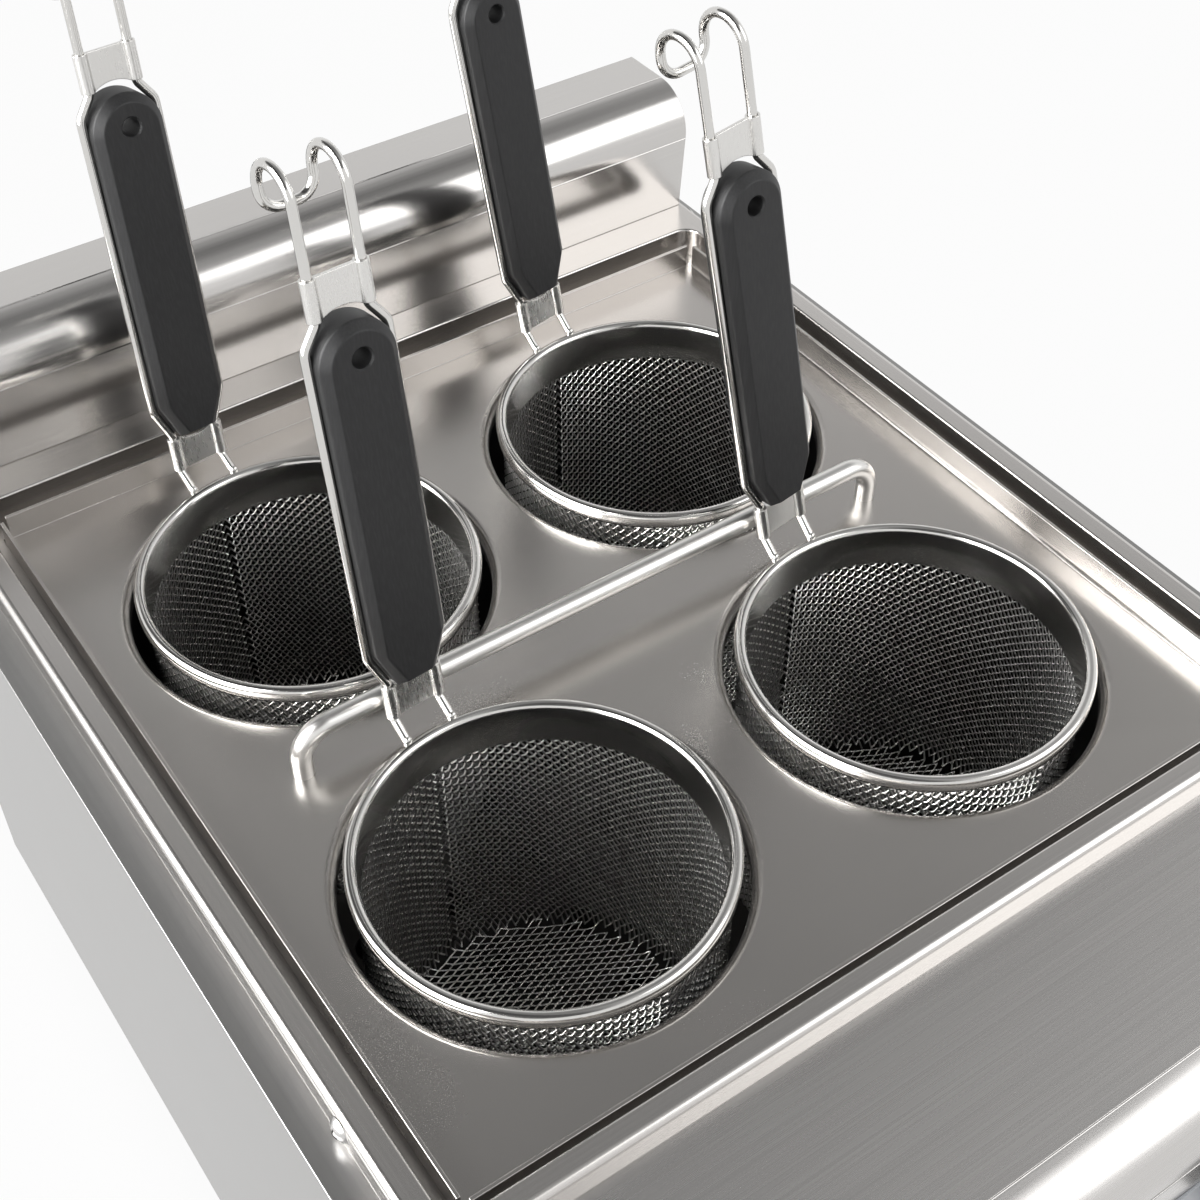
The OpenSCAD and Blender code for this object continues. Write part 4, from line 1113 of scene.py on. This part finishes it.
    def grip(self) -> bpy.types.Mesh:
        """Flat grip with chamfered faces, a round top, a tapered foot and a hanging hole.

        Returns:
            The grip's mesh.
        """
        face = self.grip_t / 2
        layers = [(inset, face - drop, 0.0) for inset, drop in self.chamfer]
        layers.append((0.0, self.wire_r + self.groove_lip, 0.0))
        layers.append((0.0, self.wire_r * self.groove_floor, self.groove))
        layers += [(inset, -out, groove) for inset, out, groove in reversed(layers)]
        shell = bmesh.new()
        loops = []
        for inset, out, groove in layers:
            outline = self.grip_outline(inset, groove)
            loops.append([shell.verts.new(self.at_handle(x, out, up)) for x, up in outline])
        middle = self.grip_high - self.grip_half + self.hole_rise
        holes = []
        for out in (face, face - self.hole_ease, -face + self.hole_ease, -face):
            radius = self.grip_hole + (self.hole_ease if abs(out) == face else 0.0)
            ring = arc((0.0, middle), radius, 0, 360, self.hole_steps)[:-1]
            holes.append([shell.verts.new(self.at_handle(x, out, up)) for x, up in ring])
        for lower, upper in [*zip(loops, loops[1:]), *zip(holes, holes[1:])]:
            for i in range(len(lower)):
                k = (i + 1) % len(lower)
                shell.faces.new((lower[i], lower[k], upper[k], upper[i]))
        for outline, hole in ((loops[0], holes[0]), (loops[-1], holes[-1])):
            rings = [e for loop in (outline, hole) for v in loop
                     for e in v.link_edges if e.other_vert(v) in loop]
            bmesh.ops.triangle_fill(shell, use_beauty=True, edges=list(dict.fromkeys(rings)))
        bmesh.ops.recalc_face_normals(shell, faces=shell.faces)
        return flat_faced(as_mesh(shell, "grip"))


@dataclass
class Casing:
    """Sheet panels, deck, splash, lift-out plate, feet and screws."""

    edge: float = 0.35 * MM
    plate_edge: float = 0.3 * MM
    foot_edge: float = 0.8 * MM
    well_edge: Rounding = Rounding(290 * MM, 178.2 * MM, -148 * MM, 216.5 * MM, 1.1 * MM)
    tray_bend: Rounding = Rounding(277 * MM, 171.5 * MM, -144 * MM, 206.5 * MM, 2.5 * MM)
    head_r: float = 4.7 * MM
    head_h: float = 2.6 * MM
    shank_r: float = 2 * MM
    shank_l: float = 3 * MM
    recess: Triple = (4.4 * MM, 0.9 * MM, 2.4 * MM)
    recess_sharp: float = math.radians(35)

    def build(self) -> None:
        """Make and dress the casing's pieces."""
        sheets = [
            ("left_side_panel", PANEL, "casing_steel"), ("right_side_panel", PANEL, "casing_steel"),
            ("rear_panel", PANEL, "casing_steel"), ("front_panel", NOSE, "casing_steel"),
            ("base_pan", PANEL, "casing_steel"), ("back_splash", SPLASH, "deck_steel"),
            ("tank", TANK, "tank_steel"), ("false_bottom", TANK, "tank_steel"),
        ]
        for node, finish, slot in sheets:
            dress(node, "casing", finish, self.edge)
        dress("deck_frame", "casing", DECK, self.edge, self.well_edge)
        dress("support_plate", "support", PLATE, self.plate_edge, self.tray_bend)
        dress("plate_handle", "support", BAR, 0.0)
        dress("feet", "casing", RUBBER, self.foot_edge)
        self.screws("deck_screws", 0)
        self.screws("rear_screws", 1)

    def screws(self, node: str, axis: int) -> None:
        """Replace a node of dome-headed screws by screws with a cross recess.

        Args:
            node: name of the node.
            axis: 0 where the screws lie along X, 1 along Y.
        """
        head = self.screw_head()
        copies = []
        for low, high in islands(node):
            seat = (low + high) / 2
            outwards = math.copysign(1.0, seat[axis])
            direction = Vector((outwards, 0.0, 0.0) if axis == 0 else (0.0, outwards, 0.0))
            top = high[axis] if outwards > 0 else low[axis]
            seat[axis] = top - outwards * self.head_h
            copy = head.copy()
            copy.transform(Matrix.Translation(seat) @ facing(direction))
            copies.append(copy)
        bpy.data.meshes.remove(head)
        add_piece(joined(copies), f"{node}_dressed", "casing", SCREW, [node])

    def screw_head(self) -> bpy.types.Mesh:
        """Domed head with a cross recess, its seat at the origin.

        Returns:
            The head's mesh.
        """
        ball = (self.head_r ** 2 + self.head_h ** 2) / (2 * self.head_h)
        start = math.degrees(math.asin((self.head_h - ball) / -ball))
        dome = arc((0.0, self.head_h - ball), ball, start, 90, 12)
        shank = [(0.0, -self.shank_l), (self.shank_r, -self.shank_l), (self.shank_r, 0.0)]
        cross = bmesh.new()
        for turn in (0.0, math.pi / 2):
            place = Matrix.Translation((0.0, 0.0, self.head_h)) @ Matrix.Rotation(turn, 4, "Z")
            bmesh.ops.create_cube(cross, size=1.0, matrix=place @ Matrix.Diagonal((*self.recess, 1.0)))
        head = link(revolved([*shank, *dome], 32), "head")
        cutter = link(as_mesh(cross, "recess"), "recess")
        cut = head.modifiers.new("recess", "BOOLEAN")
        cut.operation = "DIFFERENCE"
        cut.solver = "EXACT"
        cut.use_self = True
        cut.object = cutter
        made = evaluated_mesh(head)
        bpy.data.objects.remove(cutter)
        made.shade_smooth()
        made.set_sharp_from_angle(angle=self.recess_sharp)
        return made


@dataclass
class Controls:
    """Dial plate with its scale, knob, lamps, power switch and drain tap."""

    knob_x: float = 80 * MM
    knob_z: float = 190 * MM
    tick_from: float = 28.5 * MM
    tick_l: float = 4 * MM
    tick_w: float = 0.9 * MM
    number_at: float = 38 * MM
    number_h: float = 6.5 * MM
    capital_share: float = 0.7
    step: float = math.radians(22.5)
    ticks: int = 13
    print_t: float = 0.12 * MM

    def build(self) -> None:
        """Make and dress the pieces on the front."""
        pieces = [
            ("dial_plate", "casing", LACQUER, "dial_grey", 0.25),
            ("switch_bezel", "casing", BLACK, "black_plastic", 0.4),
            ("indicator_lamps", "casing", LENS, "lamp_lens", 0.3),
            ("drain_valve_body", "casing", PLATED, "plated_brass", 0.0),
            ("drain_spout", "casing", PLATED, "plated_brass", 0.3),
            ("cable_gland", "casing", BLACK, "black_plastic", 0.4),
            ("control_knob", "knob", KNOB, "knob_plastic", 0.4),
            ("power_rocker", "rocker", BLACK, "black_plastic", 0.5),
            ("drain_lever", "drain_handle", PLATED, "plated_brass", 0.4),
            ("drain_lever_sleeve", "drain_handle", RED, "red_plastic", 0.8),
        ]
        for node, body, finish, slot, width in pieces:
            dress(node, body, finish, width * MM)
        self.scale()

    def on_dial(self) -> Matrix:
        """Place of the scale: X across, Y up, Z out of the plate, about the knob's axis."""
        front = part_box("dial_plate")[0].y
        return Matrix.Translation((self.knob_x, front, self.knob_z)) @ Matrix.Rotation(math.pi / 2, 4, "X")

    def scale(self) -> None:
        """Print ticks and plain numbers round the knob."""
        tick = bmesh.new()
        size = Matrix.Diagonal((self.tick_w, self.tick_l, 2 * self.print_t, 1.0))
        middle = Matrix.Translation((0.0, self.tick_from + self.tick_l / 2, 0.0))
        bmesh.ops.create_cube(tick, size=1.0, matrix=middle @ size)
        ticks = ring_of_copies().run({"Count": self.ticks, "Step": -self.step}, PRINT, as_mesh(tick, "tick"))
        ticks.shade_flat()
        numbers = [self.number(str(i), -2 * i * self.step) for i in range(self.ticks // 2 + 1)]
        mesh = joined([ticks, *numbers])
        mesh.transform(self.on_dial())
        add_piece(mesh, "dial_scale", "casing", PRINT)

    def number(self, text: str, turn: float) -> bpy.types.Mesh:
        """One upright number of the scale.

        Args:
            text: the number.
            turn: its angle from the top, counter-clockwise.

        Returns:
            The number's mesh in the scale's plane.
        """
        letters = bpy.data.curves.new("number", "FONT")
        letters.body = text
        letters.size = self.number_h / self.capital_share
        letters.extrude = self.print_t
        letters.align_x = "CENTER"
        letters.align_y = "CENTER"
        letters.resolution_u = 4
        mesh = evaluated_mesh(link(letters, "number"))
        across, up = -self.number_at * math.sin(turn), self.number_at * math.cos(turn)
        mesh.transform(Matrix.Translation((across, up, 0.0)))
        return mesh


@dataclass(frozen=True)
class Lamp:
    """A square area lamp, by its place, its side and its power in watts."""

    name: str
    place: Triple
    size: float
    power: float

    def build(self, target: Triple) -> None:
        """Add the lamp, facing a point.

        Args:
            target: the point.
        """
        data = bpy.data.lights.new(self.name, "AREA")
        data.size = self.size
        data.energy = self.power
        aim = Vector(target) - Vector(self.place)
        link(data, self.name).matrix_world = Matrix.Translation(self.place) @ facing(aim, "-Z")


@dataclass
class Studio:
    """Camera, floor, lamps and the cards that the steel reflects, in metres and degrees."""

    eye: Triple = (-0.2773, -0.3635, 0.76875)
    azimuth: float = 34.85
    down: float = 44.81
    roll: float = 0.18
    focal_px: float = 1796.9
    frame_px: float = 1200.0
    sensor: float = 36.0
    near_clip: float = 0.01
    card_at: Triple = (0.79, 0.66, 2.6)
    card_reach: float = 3.0
    card_left: float = -1.1
    card_fade: float = 0.7
    card_dark: float = 0.15
    white_at: Triple = (-1.6, 0.3, 1.4)
    white_size: float = 2.0
    white_level: float = 12.0
    card_levels: tuple[Pair, ...] = ((0.0, 0.22), (0.15, 0.28), (0.3, 0.42),
                                     (0.5, 0.46), (0.75, 0.7), (1.0, 1.0))
    world_light: float = 0.42
    world_seen: float = 0.56
    floor_size: float = 12.0
    floor_drop: float = 0.2 * MM
    floor_tone: float = 0.9
    floor_glow: float = 0.94
    lit_point: Triple = (0.0, 0.0, 0.25)
    lamps: tuple[Lamp, ...] = (Lamp("key_softbox", (1.5, -1.5, 1.8), 1.8, 20.0),
                               Lamp("left_softbox", (-1.5, 0.2, 1.1), 1.2, 5.0))

    def build(self) -> None:
        """Set up the view and the light."""
        bpy.context.scene.view_settings.view_transform = "Standard"
        self.camera()
        self.world()
        self.floor()
        self.dark_card()
        self.white_card()
        for lamp in self.lamps:
            lamp.build(self.lit_point)

    def camera(self) -> None:
        """Put the camera where the photograph was taken from."""
        data = bpy.data.cameras.new("camera")
        data.sensor_width = self.sensor
        data.lens = self.focal_px / self.frame_px * self.sensor
        data.clip_start = self.near_clip
        camera = link(data, "camera")
        turn = Matrix.Rotation(math.radians(-self.azimuth), 4, "Z")
        tilt = Matrix.Rotation(math.radians(90 - self.down), 4, "X")
        camera.matrix_world = (Matrix.Translation(self.eye) @ turn @ tilt
                               @ Matrix.Rotation(math.radians(self.roll), 4, "Z"))
        bpy.context.scene.camera = camera

    @staticmethod
    def seen_directly(graph: Graph) -> Value:
        """One for camera, glossy and transmitted rays, else zero.

        Args:
            graph: tree to add the nodes to.

        Returns:
            The mask.
        """
        path = graph.node("ShaderNodeLightPath")
        kinds = ("Is Camera Ray", "Is Glossy Ray", "Is Transmission Ray")
        camera, glossy, through = (Value(graph, path.outputs[kind]) for kind in kinds)
        return (camera + glossy + through).apply("MINIMUM", 1.0)

    def world(self) -> None:
        """White where it is seen, softer where it lights the object."""
        world = bpy.data.worlds.new("studio")
        bpy.context.scene.world = world
        world.use_nodes = True
        graph = Graph(world.node_tree)
        graph.tree.nodes.clear()
        strength = self.world_light + self.seen_directly(graph) * self.world_seen
        light = graph.value("ShaderNodeBackground", inputs={"Color": WHITE, "Strength": strength})
        graph.node("ShaderNodeOutputWorld", inputs={"Surface": light})

    def floor(self) -> None:
        """Pale floor that stays white to the eye but keeps a soft shadow."""
        graph = SurfaceGraph("pale_floor")
        paint = graph.value("ShaderNodeBsdfDiffuse", inputs={"Color": (*(self.floor_tone,) * 3, 1.0)})
        glow = graph.value("ShaderNodeEmission", inputs={"Color": WHITE, "Strength": 1.0})
        share = self.seen_directly(graph) * self.floor_glow
        blend = graph.value("ShaderNodeMixShader", inputs={0: share, 1: paint, 2: glow})
        graph.node("ShaderNodeOutputMaterial", inputs={"Surface": blend})
        self.sheet("floor", self.floor_size, Matrix.Translation((0.0, 0.0, -self.floor_drop)), graph.material)

    def dark_card(self) -> None:
        """Dark card above and behind, which only reflections show."""
        graph = SurfaceGraph("dark_card")
        away = graph.value("ShaderNodeVectorMath", {"operation": "LENGTH"}, {0: graph.place}, "Value")
        level = graph.value("ShaderNodeValToRGB", {"stops": self.card_levels}, {0: away / self.card_reach})
        side = (graph.axis(graph.place, 0) - self.card_left) / self.card_fade
        lit = side.apply("MAXIMUM", 0.0).apply("MINIMUM", 1.0)
        strength = self.card_dark + lit * (1 - self.card_dark)
        glow = graph.value("ShaderNodeEmission", inputs={"Color": level, "Strength": strength})
        graph.node("ShaderNodeOutputMaterial", inputs={"Surface": glow})
        card = self.sheet("dark_card", 2 * self.card_reach, Matrix.Translation(self.card_at), graph.material)
        self.only_reflected(card)

    def white_card(self) -> None:
        """Bright card on the left, which only reflections show."""
        graph = SurfaceGraph("white_card")
        glow = graph.value("ShaderNodeEmission", inputs={"Color": WHITE, "Strength": self.white_level})
        graph.node("ShaderNodeOutputMaterial", inputs={"Surface": glow})
        place = Matrix.Translation(self.white_at) @ Matrix.Rotation(math.radians(90), 4, "Y")
        self.only_reflected(self.sheet("white_card", self.white_size, place, graph.material))

    @staticmethod
    def only_reflected(card: bpy.types.Object) -> None:
        """Hide a card from everything but reflections.

        Args:
            card: the card.
        """
        card.visible_camera = False
        card.visible_diffuse = False
        card.visible_shadow = False
        card.visible_transmission = False

    @staticmethod
    def sheet(name: str, size: float, place: Matrix, material: bpy.types.Material) -> bpy.types.Object:
        """Add a flat square of the studio.

        Args:
            name: the object's name.
            size: its side.
            place: its place.
            material: its material.

        Returns:
            The object.
        """
        shell = bmesh.new()
        bmesh.ops.create_grid(shell, x_segments=1, y_segments=1, size=size / 2)
        made = link(as_mesh(shell, name), name)
        made.data.materials.append(material)
        made.matrix_world = place
        return made


PLAIN_NODES = {
    "heating_element": ELEMENT, "element_rack": TANK, "element_terminals": SCREW, "thermostat": CREAM,
    "thermostat_bulb": COPPER, "capillary_tube": COPPER, "high_limit_cutout": BLACK, "contactor": CREAM,
    "terminal_block": CREAM, "drain_pipe": PLATED, "drain_locknut": PLATED, "foot_studs": SCREW,
    "thermostat_shaft": POLISHED, "drain_stem": PLATED, "drain_ball": PLATED,
}


def dress_plain_nodes() -> None:
    """Give the nodes whose solids are right their finish."""
    for node, finish in PLAIN_NODES.items():
        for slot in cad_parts[node].material_slots:
            slot.material = material_of(finish)
        LOG.info("%s: as modelled", node)


def main() -> None:
    """Build the studio and every sub-assembly."""
    logging.basicConfig(level=logging.INFO)
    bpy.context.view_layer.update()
    Studio().build()
    Casing().build()
    Controls().build()
    for name, (turn, rock) in HANDLE_ANGLES.items():
        Basket(name, math.radians(turn), math.radians(rock)).build()
    dress_plain_nodes()


if __name__ == "__main__":
    main()
